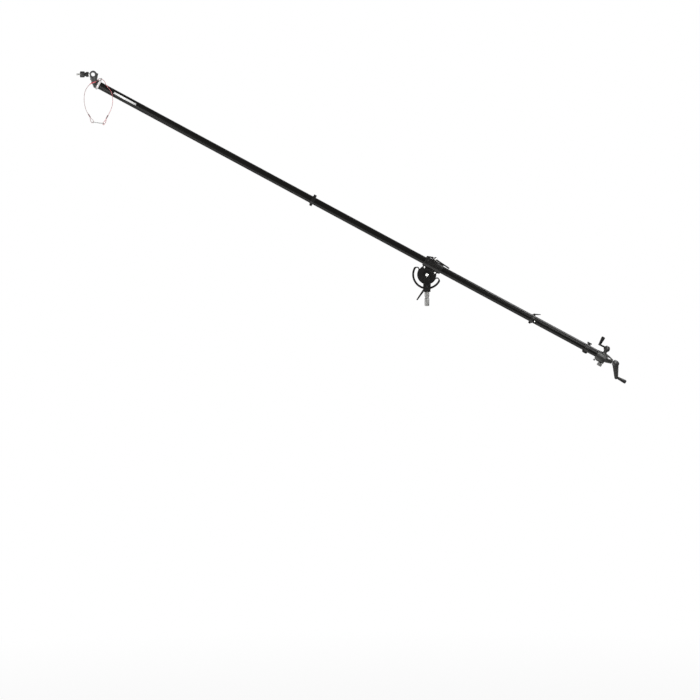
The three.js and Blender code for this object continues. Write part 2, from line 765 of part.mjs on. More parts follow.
// Tapered nose with side windows, which carries the rear end of the tilt shaft
const noseWall = 5;
const noseShoulder = 8;
const noseTip = 14;
const noseLean = 1;
const bearingOuter = 9;
const bearingLength = 12;
const windowHalf = 9;
const windowMiddle = 18;
const windowLow = 3;
const windowHigh = 14;
const noseOuter = turned([
  [0, noseStart + gap],
  [chamberRadius + noseWall, noseStart + gap],
  [chamberRadius + noseWall - noseLean, noseStart + noseShoulder],
  [noseTip, noseEnd],
  [0, noseEnd],
], 'x');
const noseHollow = turned([
  [0, noseStart],
  [chamberRadius, noseStart],
  [chamberRadius - noseLean, noseStart + noseShoulder],
  [bearingOuter + overrun, noseEnd - bearingLength],
  [0, noseEnd - bearingLength],
], 'x');
piece(along, 'gearbox_nose', cut(
  noseOuter,
  noseHollow,
  rod(bearingOuter + gap, noseStart, noseEnd + overrun, 'x', roundSides),
  moved(block(
    -windowHalf, windowHalf, -3 * windowHalf, 3 * windowHalf, windowLow, windowHigh,
  ), noseStart + windowMiddle, 0, 0),
), castBlack);
piece(along, 'nose_bearing', ring(
  bearingOuter, tiltShaftRadius + gap, noseEnd - bearingLength, noseEnd, 'x',
), brassYellow);

// Drag knob below the gearbox
const dragRadius = 11;
const dragHeight = 18;
const dragInside = 3;
piece(along, 'brake_knob', moved(join(
  easedKnob(dragRadius, -bellyDrop - brakeBossDrop - gap - dragHeight, -bellyDrop - brakeBossDrop - gap),
  rod(knobStem, -bellyDrop - brakeBossDrop - overrun, -chamberRadius - dragInside, 'z'),
), brakeAlong, 0, 0), plasticGrey);

// Roll tube with its bearings and the mitre gear that crank B turns
const rollTubeFront = -2312;
const gearHubLength = 10;
const gearBack = bevelBack(mitre);
const gearBore = tiltShaftRadius + 2 * runningGap;
piece(along, 'roll_tube', ring(
  rollTubeOuter, rollTubeInner, rollTubeFront, crankAxis - gearBack - gap, 'x',
), steelGrey);
piece(along, 'roll_gear', moved(join(
  bevelGear({ ...mitre, bore: gearBore }).rotate([0, 90, 0]),
  ring(rollTubeInner - gap, gearBore, -gearBack - gearHubLength, sink - gearBack, 'x', mitre.teeth),
), crankAxis, 0, 0), brassYellow);
const bearingHalf = 15;
const bearingInset = 5;
const rollBearings = {
  head_bearing: frontEnd + bearingInset + bearingHalf,
  roll_tube_bearing: spigotStart - 2 * bearingHalf,
};
for (const [name, x] of Object.entries(rollBearings)) {
  piece(along, name, ring(
    sleeveOuter, rollTubeOuter + gap, x - bearingHalf, x + bearingHalf, 'x',
  ), nylonWhite);
}

// A hollow grip that spins on its spindle and widens to its rounded end
const gripEnd = 11.5;
const gripSpindle = 3.5;
const gripShares = [[0.74, 0], [0.76, 0.12], [0.86, 0.4], [1, 0.78], [0.98, 0.93], [0.8, 1], [0, 1]];
const gripCap = 4;

function gripSolid(from, to, axis) {
  return turned([
    [gripSpindle + gap, from],
    ...scaled(gripShares, gripEnd, from, to),
    [0, to - gripCap],
    [gripSpindle + gap, to - gripCap],
    [gripSpindle + gap, from],
  ], axis, smallSides);
}

// Crank B: shaft with its mitre gear, domed hub with a bent arm, and the spinning grip
const panPhase = 180 / mitre.teeth;
const panShaftTop = 66;
const crankSeat = bossTop + 1;
const panArmLength = 62;
const panArmBase = 53;
const panArmThickness = 10;
const panArmRadii = [13, 8.5];
const panTurn = 30;
const panGripTop = 111;
const domeRadius = 19.5;
const domeHeight = 42;
const domeShares = [[0.56, 0], [0.66, 0.2], [0.96, 0.34], [1, 0.52], [0.86, 0.77], [0.5, 0.96], [0, 1]];
piece(along, 'pan_crank_shaft', moved(join(
  bevelGear({ ...mitre, bore: 0 }).rotate([180, 0, 0]).rotate([0, 0, panPhase]),
  rod(crankShaftRadius, mitre.pitchRadius, panShaftTop, 'z', smallSides),
), crankAxis, 0, 0), steelGrey);

function layFlat(plateSolid) {
  return plateSolid.rotate([90, 0, 0]);
}

const domedHub = turned([
  [0, panShaftTop + gap],
  [crankShaftRadius + gap, panShaftTop + gap],
  [crankShaftRadius + gap, crankSeat],
  ...scaled(domeShares, domeRadius, crankSeat, crankSeat + domeHeight),
], 'z', roundSides);
const panArmTop = panArmBase + panArmThickness;
const panArm = cut(
  join(
    layFlat(plate(
      armShape([0, 0], panArmRadii[0], [-panArmLength, 0], panArmRadii[1]), panArmBase, panArmTop,
    )),
    moved(rod(gripSpindle, panArmBase + sink, panGripTop - 2 * gripCap, 'z'), -panArmLength, 0, 0),
  ),
  rod(crankShaftRadius + gap, 0, panShaftTop, 'z'),
);
const panCrank = join(domedHub, panArm).rotate([0, 0, panTurn]);
piece(along, 'pan_crank_arm', moved(panCrank, crankAxis, 0, 0), castBlack);

const panGrip = moved(gripSolid(panArmTop + gap, panGripTop, 'z'), -panArmLength, 0, 0);
piece(along, 'pan_crank_grip', moved(panGrip.rotate([0, 0, panTurn]), crankAxis, 0, 0), plasticBlack);

// Tilt shaft through the whole boom, with the mitre gear that turns the worm
const headMitre = { teeth: 12, pitchRadius: 9.5, face: 4.5, addendum: 0.9, dedendum: 1.4, back: 3 };
const wormModule = 1.5;
const wheelTeeth = 22;
const wheelPitchRadius = wormModule * wheelTeeth / 2;
const wormPitchRadius = 7.5;
const wormAlong = headAlong + wheelPitchRadius + wormPitchRadius;
const tiltShaftEnd = 1291;
const tiltPhase = 180 / headMitre.teeth;
piece(along, 'tilt_shaft', join(
  moved(bevelGear({ ...headMitre, bore: 0 }).rotate([0, -90, 0]), wormAlong, 0, 0),
  rod(tiltShaftRadius, wormAlong + headMitre.pitchRadius, tiltShaftEnd, 'x', smallSides),
), steelGrey);

// Crank A: hub on the shaft, an arm that leans back, and its grip
const crankHubStart = 1253;
const crankHubEnd = 1293;
const crankHubRadius = 20;
const crankHubShares = [[0, 0], [0.65, 0], [0.95, 0.15], [1, 0.5], [0.82, 0.82], [0.45, 1], [0, 1]];
const crankRadius = 80;
const crankTurn = 24;
const crankRootAlong = 1275;
const crankRootDrop = 6;
const crankTip = 1318;
const tiltArmRadii = [18, 10.5];
const tiltArmHalf = 10;
const crankGripStart = 1327;
const crankGripEnd = 1385;
const leaningArm = armShape(
  [crankRootAlong, -crankRootDrop], tiltArmRadii[0],
  [crankTip, -crankRadius], tiltArmRadii[1],
);
const tiltArm = cut(
  join(
    turned(scaled(crankHubShares, crankHubRadius, crankHubStart, crankHubEnd), 'x', roundSides),
    common(
      plate(leaningArm, -tiltArmHalf, tiltArmHalf),
      block(crankHubStart, crankGripStart - gap, -halfSpace, halfSpace, -2 * crankRadius, 0),
    ),
    moved(rod(gripSpindle, crankTip, crankGripEnd - 2 * gripCap, 'x'), 0, 0, -crankRadius),
  ),
  rod(tiltShaftRadius + gap, noseEnd, tiltShaftEnd + gap, 'x', smallSides),
);
piece(along, 'tilt_crank_arm', tiltArm.rotate([crankTurn, 0, 0]), castBlack);
const tiltGrip = moved(gripSolid(crankGripStart, crankGripEnd, 'x'), 0, 0, -crankRadius);
piece(along, 'tilt_crank_grip', tiltGrip.rotate([crankTurn, 0, 0]), plasticBlack);

// Worm shaft: mitre gear at the foot, and the single-start worm beside the wheel
const wormLead = Math.PI * wormModule;
const wormAddendum = 1.3;
const wormDedendum = 1.9;
const wormHalf = 6.5;
const wormStepsPerTurn = 10;
const threadSink = 0.6;
const wormShaftRadius = 4;
const wormShaftTop = 59;
const threadRootShare = 0.52;
const threadTipShare = 0.2;

function helicalThread() {
  const turns = 2 * wormHalf / wormLead - threadRootShare;
  const steps = Math.round(turns * wormStepsPerTurn);
  const rootRadius = wormPitchRadius - wormDedendum - threadSink;
  const tipRadius = wormPitchRadius + wormAddendum;
  const section = [
    [rootRadius, -threadRootShare / 2], [tipRadius, -threadTipShare / 2],
    [tipRadius, threadTipShare / 2], [rootRadius, threadRootShare / 2],
  ];
  const positions = [];
  for (let i = 0; i <= steps; i += 1) {
    const angle = (i - steps / 2) * 2 * Math.PI / wormStepsPerTurn;
    for (const [radius, share] of section) {
      const height = wormLead * (angle / (2 * Math.PI) + share);
      positions.push(-radius * Math.cos(angle), -radius * Math.sin(angle), height);
    }
  }
  const triangles = [0, 2, 1, 0, 3, 2];
  for (let i = 0; i < steps; i += 1) {
    for (let k = 0; k < 4; k += 1) {
      const a = 4 * i + k;
      const b = 4 * i + (k + 1) % 4;
      triangles.push(a, b, b + 4, a, b + 4, a + 4);
    }
  }
  const last = 4 * steps;
  triangles.push(last, last + 1, last + 2, last, last + 2, last + 3);
  const geometry = new THREE.BufferGeometry();
  geometry.setAttribute('position', new THREE.BufferAttribute(new Float32Array(positions), 3));
  geometry.setIndex(triangles);
  return solid(geometry);
}

piece(along, 'worm_shaft', moved(join(
  bevelGear({ ...headMitre, bore: 0 }).rotate([180, 0, 0]).rotate([0, 0, tiltPhase]),
  rod(wormShaftRadius, headMitre.pitchRadius, wormShaftTop, 'z'),
  moved(rod(wormPitchRadius - wormDedendum, -wormHalf, wormHalf, 'z', wormStepsPerTurn), 0, 0, headRise),
  moved(helicalThread(), 0, 0, headRise),
), wormAlong, 0, 0), steelGrey);

// Head neck: a fork for the tilt hub, two bridges for the worm shaft, and a round base
const slotHalf = 11;
const hubJournal = 14;
const neckBase = -2330;
const ringStart = -2316;
const ringOuter = 31;
const neckHub = 18;
const neckBottom = -27;
const neckTop = 26;
const neckFloor = -13.5;
const neckWaist = 9;
const heelAlong = 12;
const throatDrop = 3;
const neckEase = 1;
const shoulderAlong = 27;
const shoulderRise = 14;
const shoulderFoot = 24;
const headArc = [1.17 * Math.PI, 0.3 * Math.PI];
const baseRadius = 27;
const baseFront = 21;
const baseTaper = 7;
const bridgeFront = 8;
const bridgeRear = 12;
const lowerBridge = [17.5, 25];
const upperBridge = [headRise + 13, headRise + 17];
const wormPocket = 20;
const neckShape = new THREE.Shape();
neckShape.moveTo(ringStart - gap, neckBottom);
neckShape.lineTo(neckBase + throatDrop, neckBottom);
neckShape.lineTo(neckBase - heelAlong, neckFloor - neckEase);
neckShape.lineTo(headAlong + throatDrop, -throatDrop);
neckShape.lineTo(headAlong - neckEase, neckWaist);
neckShape.absarc(headAlong, headRise, hubOuter, ...headArc, true);
neckShape.lineTo(headAlong + shoulderAlong, headRise + shoulderRise);
neckShape.lineTo(neckBase - neckEase, shoulderFoot);
neckShape.lineTo(ringStart - gap, neckTop);
const bridge = ([low, high]) =>
  block(wormAlong - bridgeFront, wormAlong + bridgeRear, -slotHalf - sink, slotHalf + sink, low, high);
const neckBody = cut(
  join(
    plate(neckShape, -neckHalfWidth, neckHalfWidth, 6),
    turned([
      [0, neckBase - overrun],
      [baseFront, neckBase - overrun],
      [baseRadius, neckBase + baseTaper],
      [baseRadius, ringStart - gap],
      [0, ringStart - gap],
    ], 'x'),
    rod(neckHub, ringStart - overrun, frontEnd - gap, 'x', roundSides),
  ),
  block(headAlong - 2 * headRise, neckBase - throatDrop, -slotHalf, slotHalf, neckFloor, 2 * headRise),
);
piece(along, 'head_neck', cut(
  join(neckBody, bridge(lowerBridge), bridge(upperBridge)),
  moved(rod(wormShaftRadius + gap, neckFloor, 2 * headRise, 'z'), wormAlong, 0, 0),
  moved(rod(hubJournal + gap, -halfSpace, halfSpace, 'y', roundSides), headAlong, 0, headRise),
  rod(rollTubeOuter + gap, rollTubeFront - gap, frontEnd + overrun, 'x', roundSides),
  rod(tiltShaftRadius + gap, neckBase - wormPocket, frontEnd, 'x', smallSides),
  rod(
    headMitre.pitchRadius + headMitre.addendum + gap,
    neckBase - wormPocket, neckBase + sink, 'x', smallSides,
  ),
), castBlack);

// White nylon ring behind the neck, and the eye on it for the safety cable
const ringEase = 2;
const ringBack = frontEnd - gap;
const eyeRadius = 4.5;
const eyeWire = 1.6;
const eyeSides = 6;
const eyeAlong = -2310;
const eyeRise = 39;
const eyeStem = 2.2;
const eyeFoot = 4.2;
const eyeFootHeight = 1.6;
piece(along, 'head_ring', turned([
  [neckHub + gap, ringStart],
  [ringOuter - ringEase, ringStart],
  [ringOuter, ringStart + ringEase],
  [ringOuter, ringBack - ringEase],
  [ringOuter - ringEase, ringBack],
  [neckHub + gap, ringBack],
  [neckHub + gap, ringStart],
], 'x'), nylonWhite);
const eyeTorus = new THREE.TorusGeometry(eyeRadius, eyeWire, eyeSides, smallSides);
eyeTorus.rotateY(Math.PI / 2);
piece(along, 'cable_eye', moved(join(
  moved(solid(eyeTorus), 0, 0, eyeRise),
  rod(eyeStem, ringOuter + gap + sink, eyeRise - eyeRadius, 'z'),
  rod(eyeFoot, ringOuter + gap, ringOuter + gap + eyeFootHeight, 'z'),
), eyeAlong, 0, 0), steelBlack);

// Tilt hub: hollow journals with the worm wheel round them and a boss for the stud
const wheelHalf = 5;
const boss = 9;
const bossReach = 18;
const bossSink = 3;
const studTail = 6;
const studSeat = 14;
const toothSink = 0.8;
const wheelTipRadius = wheelPitchRadius + wormAddendum;
const wheelRootRadius = wheelPitchRadius - wormDedendum;
const toothRootShare = 0.5;
const toothTipShare = 0.22;
const stud = new THREE.Group();
stud.position.set(headAlong, 0, headRise);
stud.rotation.y = -restTilt;
along.add(stud);

function wheelTooth(middle) {
  const tooth = new THREE.BoxGeometry(1, 1, 1);
  const corners = tooth.attributes.position;
  const lean = wormLead / (2 * Math.PI * wormPitchRadius) / wheelPitchRadius;
  for (let i = 0; i < corners.count; i += 1) {
    const tip = corners.getZ(i) > 0;
    const radius = tip ? wheelTipRadius : wheelRootRadius - toothSink;
    const y = Math.sign(corners.getY(i)) * wheelHalf;
    const share = tip ? toothTipShare : toothRootShare;
    const spread = Math.sign(corners.getX(i)) * share * wormLead / 2 / wheelPitchRadius;
    const angle = middle + spread - y * lean;
    corners.setXYZ(i, radius * Math.cos(angle), y, radius * Math.sin(angle));
  }
  return solid(tooth);
}

const wheelStep = 2 * Math.PI / wheelTeeth;
const sectorTeeth = 10;
const sectorStart = -2;
const tiltDegrees = THREE.MathUtils.radToDeg(restTilt);
const wheelBlank = join(
  rod(hubJournal, -neckHalfWidth + gap, neckHalfWidth - gap, 'y', roundSides),
  rod(wheelRootRadius, -wheelHalf, wheelHalf, 'y', wheelTeeth),
  ...Array.from({ length: sectorTeeth }, (_, k) => wheelTooth((k + sectorStart + 0.5) * wheelStep)),
);
piece(stud, 'tilt_hub', cut(
  join(
    wheelBlank.rotate([0, tiltDegrees, 0]),
    rod(boss, -bossReach, bossSink - hubJournal, 'x', smallSides),
  ),
  rod(hubBore, -halfSpace, halfSpace, 'y', roundSides),
  rod(studTail + gap, -bossReach - overrun, bossSink - studSeat, 'x', smallSides),
), castBlack);

// Stud with its collar, hexagon nut and thinner threaded end
const studRadius = 8;
const studShoulder = 50;
const studReach = 100;
const studThread = 5.5;
const threadEase = 1.2;
const collarFront = 43;
const collarBack = 26;
const studCollarRadius = 15.5;
const collarEase = 2;
const collarNeck = 11.5;
const nutCorner = 19;
const nutEase = 3;
const nutEnd = 79;
const nutBack = studShoulder + gap;
piece(stud, 'head_stud', turned([
  [0, -studReach],
  [studThread - threadEase, -studReach],
  [studThread, threadEase - studReach],
  [studThread, -studShoulder],
  [studRadius, -studShoulder],
  [studRadius, -bossReach - gap],
  [studTail, -bossReach - gap],
  [studTail, -studSeat],
  [0, -studSeat],
], 'x', smallSides), zincBright);
piece(stud, 'stud_collar', turned([
  [studRadius + gap, -studShoulder],
  [collarNeck, -studShoulder],
  [collarNeck, -collarFront],
  [studCollarRadius - collarEase, -collarFront],
  [studCollarRadius, collarEase - collarFront],
  [studCollarRadius, -collarBack - collarEase],
  [studCollarRadius - collarEase, -collarBack],
  [studRadius + gap, -collarBack],
  [studRadius + gap, -studShoulder],
], 'x', roundSides), plasticBlack);
piece(stud, 'stud_nut', cut(turned([
  [0, -nutEnd],
  [nutCorner - nutEase, -nutEnd],
  [nutCorner, nutEase - nutEnd],
  [nutCorner, -nutBack - nutEase],
  [nutCorner - nutEase, -nutBack],
  [0, -nutBack],
], 'x', 6), rod(studThread + gap, -studReach, 0, 'x', smallSides)), steelBlack);

// Safety cable, hanging from the eye on the ring, its two crimped ends joined by a hook
const cableRadius = 1.5;
const cableSides = 8;
const cableSteps = 64;
const crimpRadius = 3.6;
const cableRoute = [
  [-2050.6, -29.6, 1061.4], [-2044.5, -27.6, 1041.2], [-2036, -26, 1031.4], [-2027.6, -26, 1035],
  [-2030.6, -26, 1047], [-2045.3, -26, 1061.8], [-2053.8, -26, 1075.4], [-2062.3, -26, 1089],
  [-2073.9, -26, 1111.7], [-2082.5, -26, 1145.9], [-2085, -26, 1183.1], [-2079.5, -26, 1220.3],
  [-2065.5, -26, 1248.4], [-2042.3, -26, 1271.5], [-2010, -25.5, 1283.4], [-2000, -21, 1293.5],
  [-1993.5, -9, 1300.5], [-1986.6, -1, 1299.8], [-1981.1, 0, 1296.8], [-1975.4, -1, 1293.7],
  [-1967, -8, 1289], [-1958, -17.5, 1277], [-1948.3, -24, 1257.5], [-1928.8, -26.5, 1234.3],
  [-1917.2, -26.5, 1211.8], [-1911.7, -26, 1180], [-1912.9, -26, 1145.9], [-1922.7, -26, 1111.7],
  [-1937.3, -26, 1082.3], [-1945.3, -26, 1068.4], [-1953.3, -26, 1054.5], [-1962, -26, 1041],
  [-1973.4, -26, 1028], [-1967, -27, 1019.5], [-1957.5, -29, 1031], [-1950.6, -29.9, 1051],
];
const crimpMiddles = { left: [-2053.8, -26, 1075.4], right: [-1945.3, -26, 1068.4] };
const crimpAims = { left: [-2062.3, -26, 1089], right: [-1953.3, -26, 1054.5] };
const crimpHalf = 11;
const cableCurve = new THREE.CatmullRomCurve3(
  cableRoute.map((p) => new THREE.Vector3(...p)), false, 'centripetal',
);
const cableSection = new THREE.Shape();
cableSection.absarc(0, 0, cableRadius, 0, 2 * Math.PI, false);
const cableTube = new THREE.ExtrudeGeometry(cableSection, {
  steps: cableSteps, extrudePath: cableCurve, bevelEnabled: false, curveSegments: cableSides / 2,
});
piece(boomArm, 'safety_cable', solid(cableTube), cableRed);

function aimed(body, middle, aim) {
  const axis = new THREE.Vector3(...aim).sub(new THREE.Vector3(...middle)).normalize();
  const turn = new THREE.Quaternion().setFromUnitVectors(new THREE.Vector3(0, 0, 1), axis);
  const matrix = new THREE.Matrix4().compose(new THREE.Vector3(...middle), turn, new THREE.Vector3(1, 1, 1));
  return body.transform(matrix.toArray());
}

for (const side of ['left', 'right']) {
  piece(boomArm, `cable_crimp_${side}`, aimed(
    ring(crimpRadius, cableRadius + gap, -crimpHalf, crimpHalf, 'z', smallSides),
    crimpMiddles[side], crimpAims[side],
  ), cableRed);
}

// Snap hook: an oval of steel rod through both cable ends, with a gate in its near side
const hookLeft = [-2034.5, -26, 1036.45];
const hookRight = [-1964.9, -26, 1026.4];
const hookHalfWidth = 6;
const hookWire = 2;
const gateLength = 24;
const gateClearance = 0.6;
const hookSteps = 32;
const hookBendSteps = 6;
const rodSides = 6;
const hookSpan = Math.hypot(hookRight[0] - hookLeft[0], hookRight[2] - hookLeft[2]);
const hookAngle = Math.atan2(hookRight[2] - hookLeft[2], hookRight[0] - hookLeft[0]);
const straightHalf = hookSpan / 2 - hookHalfWidth;
const hookPoints = [[gateLength / 2 + gap, -hookHalfWidth], [straightHalf, -hookHalfWidth]];
for (let k = 1; k < hookBendSteps; k += 1) {
  const angle = -Math.PI / 2 + k * Math.PI / hookBendSteps;
  hookPoints.push([straightHalf + hookHalfWidth * Math.cos(angle), hookHalfWidth * Math.sin(angle)]);
}
hookPoints.push([straightHalf, hookHalfWidth], [-straightHalf, hookHalfWidth]);
for (let k = 1; k < hookBendSteps; k += 1) {
  const angle = Math.PI / 2 + k * Math.PI / hookBendSteps;
  hookPoints.push([-straightHalf + hookHalfWidth * Math.cos(angle), hookHalfWidth * Math.sin(angle)]);
}
hookPoints.push([-straightHalf, -hookHalfWidth], [-gateLength / 2 - gap, -hookHalfWidth]);
const hookCurve = new THREE.CatmullRomCurve3(
  hookPoints.map((p) => new THREE.Vector3(p[0], p[1], 0)), false, 'centripetal',
);
const hook = new THREE.Group();
hook.position.set((hookLeft[0] + hookRight[0]) / 2, hookLeft[1], (hookLeft[2] + hookRight[2]) / 2);
hook.rotation.y = -hookAngle;
boomArm.add(hook);
const hookSection = new THREE.Shape();
hookSection.absarc(0, 0, hookWire, 0, 2 * Math.PI, false);
piece(hook, 'snap_hook', solid(new THREE.ExtrudeGeometry(hookSection, {
  steps: hookSteps, extrudePath: hookCurve, bevelEnabled: false, curveSegments: rodSides / 2,
})), zincBright);
piece(hook, 'snap_hook_gate', moved(
  rod(hookWire - gap, gateClearance / 2 - gateLength / 2, gateLength / 2 - gateClearance / 2, 'x', rodSides),
  0, -hookHalfWidth, 0,
), zincBright);

export default boomArm;
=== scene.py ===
import json
from math import atan2, cos, hypot, pi, radians, sin

import bmesh
import bpy
from mathutils import Matrix, Vector


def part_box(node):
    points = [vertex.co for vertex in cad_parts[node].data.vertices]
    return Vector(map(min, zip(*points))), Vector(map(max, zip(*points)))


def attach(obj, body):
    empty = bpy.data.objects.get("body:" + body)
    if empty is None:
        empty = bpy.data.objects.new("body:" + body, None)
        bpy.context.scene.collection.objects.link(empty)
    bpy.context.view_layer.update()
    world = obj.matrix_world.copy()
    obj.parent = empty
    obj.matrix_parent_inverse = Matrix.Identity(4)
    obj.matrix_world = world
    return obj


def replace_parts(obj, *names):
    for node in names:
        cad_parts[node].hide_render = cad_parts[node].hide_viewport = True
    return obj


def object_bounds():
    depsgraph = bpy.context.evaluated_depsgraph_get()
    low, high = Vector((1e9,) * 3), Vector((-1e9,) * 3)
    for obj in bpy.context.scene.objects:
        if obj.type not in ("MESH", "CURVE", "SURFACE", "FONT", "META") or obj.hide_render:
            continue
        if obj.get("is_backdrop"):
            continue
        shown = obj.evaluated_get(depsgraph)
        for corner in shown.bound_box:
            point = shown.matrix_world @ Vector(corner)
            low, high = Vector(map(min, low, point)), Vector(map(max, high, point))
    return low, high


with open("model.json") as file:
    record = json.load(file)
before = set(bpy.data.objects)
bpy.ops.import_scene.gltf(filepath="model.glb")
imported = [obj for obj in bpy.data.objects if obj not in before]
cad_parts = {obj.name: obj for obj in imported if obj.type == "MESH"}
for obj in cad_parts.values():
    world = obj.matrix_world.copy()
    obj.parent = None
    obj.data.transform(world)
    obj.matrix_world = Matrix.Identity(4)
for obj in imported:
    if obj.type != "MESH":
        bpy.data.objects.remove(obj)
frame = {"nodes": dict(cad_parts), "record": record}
cad_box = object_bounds()
nodes = frame["nodes"]
mm = 0.001

# Photographer's side: a very long lens a little above the boom's middle, a pale studio floor
# well below the arm, a wide soft lamp from the upper left, a fill, and cards for the gloss.
frame_width = 4270 * mm
frame_middle = Vector((-469.1 * mm, 0, -358 * mm))
lens_length = 400
sensor_width = 36
camera_rise = radians(5.5)
camera_distance = frame_width * lens_length / sensor_width
photo = bpy.data.cameras.new("photo_camera")
photo.lens = lens_length
photo.sensor_width = sensor_width
photo.clip_end = 3 * camera_distance
camera = bpy.data.objects.new("photo_camera", photo)
camera.location = frame_middle + camera_distance * Vector((0, -cos(camera_rise), sin(camera_rise)))
camera.rotation_euler = (pi / 2 - camera_rise, 0, 0)
bpy.context.scene.collection.objects.link(camera)
bpy.context.scene.camera = camera
bpy.context.scene.view_settings.view_transform = "Standard"


class Socket:
    """One output socket of a material, with arithmetic that adds the Math nodes."""

    def __init__(self, tree, link):
        self.tree = tree
        self.link = link

    def node(self, kind, settings=None, stops=None, inputs=None, out=0):
        made = self.tree.nodes.new(kind)
        for name, value in (settings or {}).items():
            setattr(made, name, value)
        for index, (place, shade) in enumerate(stops or ()):
            ramp = made.color_ramp.elements
            stop = ramp[index] if index < len(ramp) else ramp.new(place)
            stop.position = place
            stop.color = shade
        for key, value in (inputs or {}).items():
            if isinstance(value, Socket):
                self.tree.links.new(value.link, made.inputs[key])
            else:
                made.inputs[key].default_value = value
        return Socket(self.tree, made.outputs[out])

    def maths(self, operation, *values):
        return self.node("ShaderNodeMath", {"operation": operation}, inputs=dict(enumerate(values)))

    def __add__(self, other):
        return self.maths("ADD", self, other)

    def __radd__(self, other):
        return self.maths("ADD", other, self)

    def __sub__(self, other):
        return self.maths("SUBTRACT", self, other)

    def __rsub__(self, other):
        return self.maths("SUBTRACT", other, self)

    def __mul__(self, other):
        return self.maths("MULTIPLY", self, other)

    def __rmul__(self, other):
        return self.maths("MULTIPLY", other, self)

    def blended(self, first, second):
        """A colour that runs from first to second as this socket runs from 0 to 1."""
        mix = {"data_type": "RGBA"}
        return self.node("ShaderNodeMix", mix, inputs={0: self, 6: first, 7: second}, out=2)

    def clamped(self, low, high):
        """0 at low and 1 at high, held between them."""
        ranges = {"Value": self, "From Min": low, "From Max": high}
        return self.node("ShaderNodeMapRange", inputs=ranges)


def colour(red, green, blue):
    return (red, green, blue, 1)


def shader(name, constants):
    """A new material, its Principled node, and the socket that its patterns start from."""
    material = bpy.data.materials.new(name)
    material.use_nodes = True
    principled = material.node_tree.nodes["Principled BSDF"]
    for key, value in constants.items():
        principled.inputs[key].default_value = value
    place = material.node_tree.nodes.new("ShaderNodeTexCoord")
    return material, principled, Socket(material.node_tree, place.outputs["Object"])


def feed(principled, **sockets):
    """Links pattern sockets to Base Color, Roughness and the like of a Principled node."""
    for key, socket in sockets.items():
        socket.tree.links.new(socket.link, principled.inputs[key.replace("_", " ")])


def rays(tree, *kinds):
    """1 on the rays of these kinds, 0 on all others."""
    path = tree.nodes.new("ShaderNodeLightPath")
    first, *others = [Socket(tree, path.outputs[f"Is {kind} Ray"]) for kind in kinds]
    for other in others:
        first = first + other
    return first.clamped(0, 1)


floor_drop = -3200 * mm
floor_half = 45000 * mm
paper_glow_near = 0.8
shadow_reach = 2500 * mm
shadow_fade = 9000 * mm
sheet = bmesh.new()
bmesh.ops.create_grid(sheet, x_segments=1, y_segments=1, size=floor_half)
bmesh.ops.translate(sheet, verts=sheet.verts, vec=(0, 0, floor_drop))
floor_mesh = bpy.data.meshes.new("studio_floor")
sheet.to_mesh(floor_mesh)
sheet.free()
studio_floor = bpy.data.objects.new("studio_floor", floor_mesh)
bpy.context.scene.collection.objects.link(studio_floor)
paper_look = {"Roughness": 1, "Base Color": colour(0.8, 0.8, 0.8)}
paper, paper_shader, paper_place = shader("studio_paper", paper_look)
paper_tree = paper.node_tree
white = paper_tree.nodes.new("ShaderNodeEmission")
blend = paper_tree.nodes.new("ShaderNodeMixShader")
length = {"operation": "LENGTH"}
distance = paper_place.node("ShaderNodeVectorMath", length, inputs={0: paper_place}, out="Value")
far_share = distance.clamped(shadow_reach, shadow_fade)
paper_seen = rays(paper_tree, "Camera", "Glossy", "Transmission")
glow = paper_seen * (paper_glow_near + far_share * (1 - paper_glow_near))
paper_tree.links.new(glow.link, blend.inputs[0])
paper_tree.links.new(paper_shader.outputs[0], blend.inputs[1])
paper_tree.links.new(white.outputs[0], blend.inputs[2])
paper_tree.links.new(blend.outputs[0], paper_tree.nodes["Material Output"].inputs[0])
floor_mesh.materials.append(paper)
studio_floor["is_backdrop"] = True

ambient = 0.5
studio = bpy.data.worlds.new("studio")
bpy.context.scene.world = studio
studio.use_nodes = True
backdrop = studio.node_tree.nodes["Background"]
backdrop.inputs["Color"].default_value = colour(1, 1, 1)
studio_seen = rays(studio.node_tree, "Camera", "Glossy", "Transmission")
studio.node_tree.links.new((ambient + studio_seen * (1 - ambient)).link, backdrop.inputs["Strength"])

lamps = {
    "key_lamp": ((-2600, -3600, 3800), 2600, 150),
    "fill_lamp": ((3400, -4200, 900), 2400, 50),
}
tilt = radians(28.4)
boom_foot = Vector((32.342, 0, 163.816)) * mm
boom_space = Matrix.Translation(boom_foot) @ Matrix.Rotation(tilt, 4, "Y")
gloss_cards = {
    "under_card": (-560, radians(158), 1300, (4000, 1100), 80),
    "front_card": (-2380, radians(114), 1300, (900, 700), 30),
    "over_card": (900, radians(-14), 1500, (1000, 800), 60),
    "end_card": (1260, radians(52), 1500, (900, 900), 44),
}


def lamp_at(name, space, sides, power):
    lamp = bpy.data.lights.new(name, "AREA")
    lamp.shape = "RECTANGLE"
    lamp.size, lamp.size_y = [side * mm for side in sides]
    lamp.energy = power
    holder = bpy.data.objects.new(name, lamp)
    holder.matrix_world = space
    holder.visible_camera = False
    bpy.context.scene.collection.objects.link(holder)
    return holder


for name, (place, side, power) in lamps.items():
    spot = Vector(place) * mm
    aim = (frame_middle - spot).to_track_quat("-Z", "Y").to_matrix().to_4x4()
    lamp_at(name, Matrix.Translation(spot) @ aim, (side, side), power)
for name, (along, angle, reach, sides, power) in gloss_cards.items():
    stand = Matrix.Translation((along * mm, 0, reach * mm))
    card = lamp_at(name, boom_space @ Matrix.Rotation(angle, 4, "X") @ stand, sides, power)
    card.visible_diffuse = False

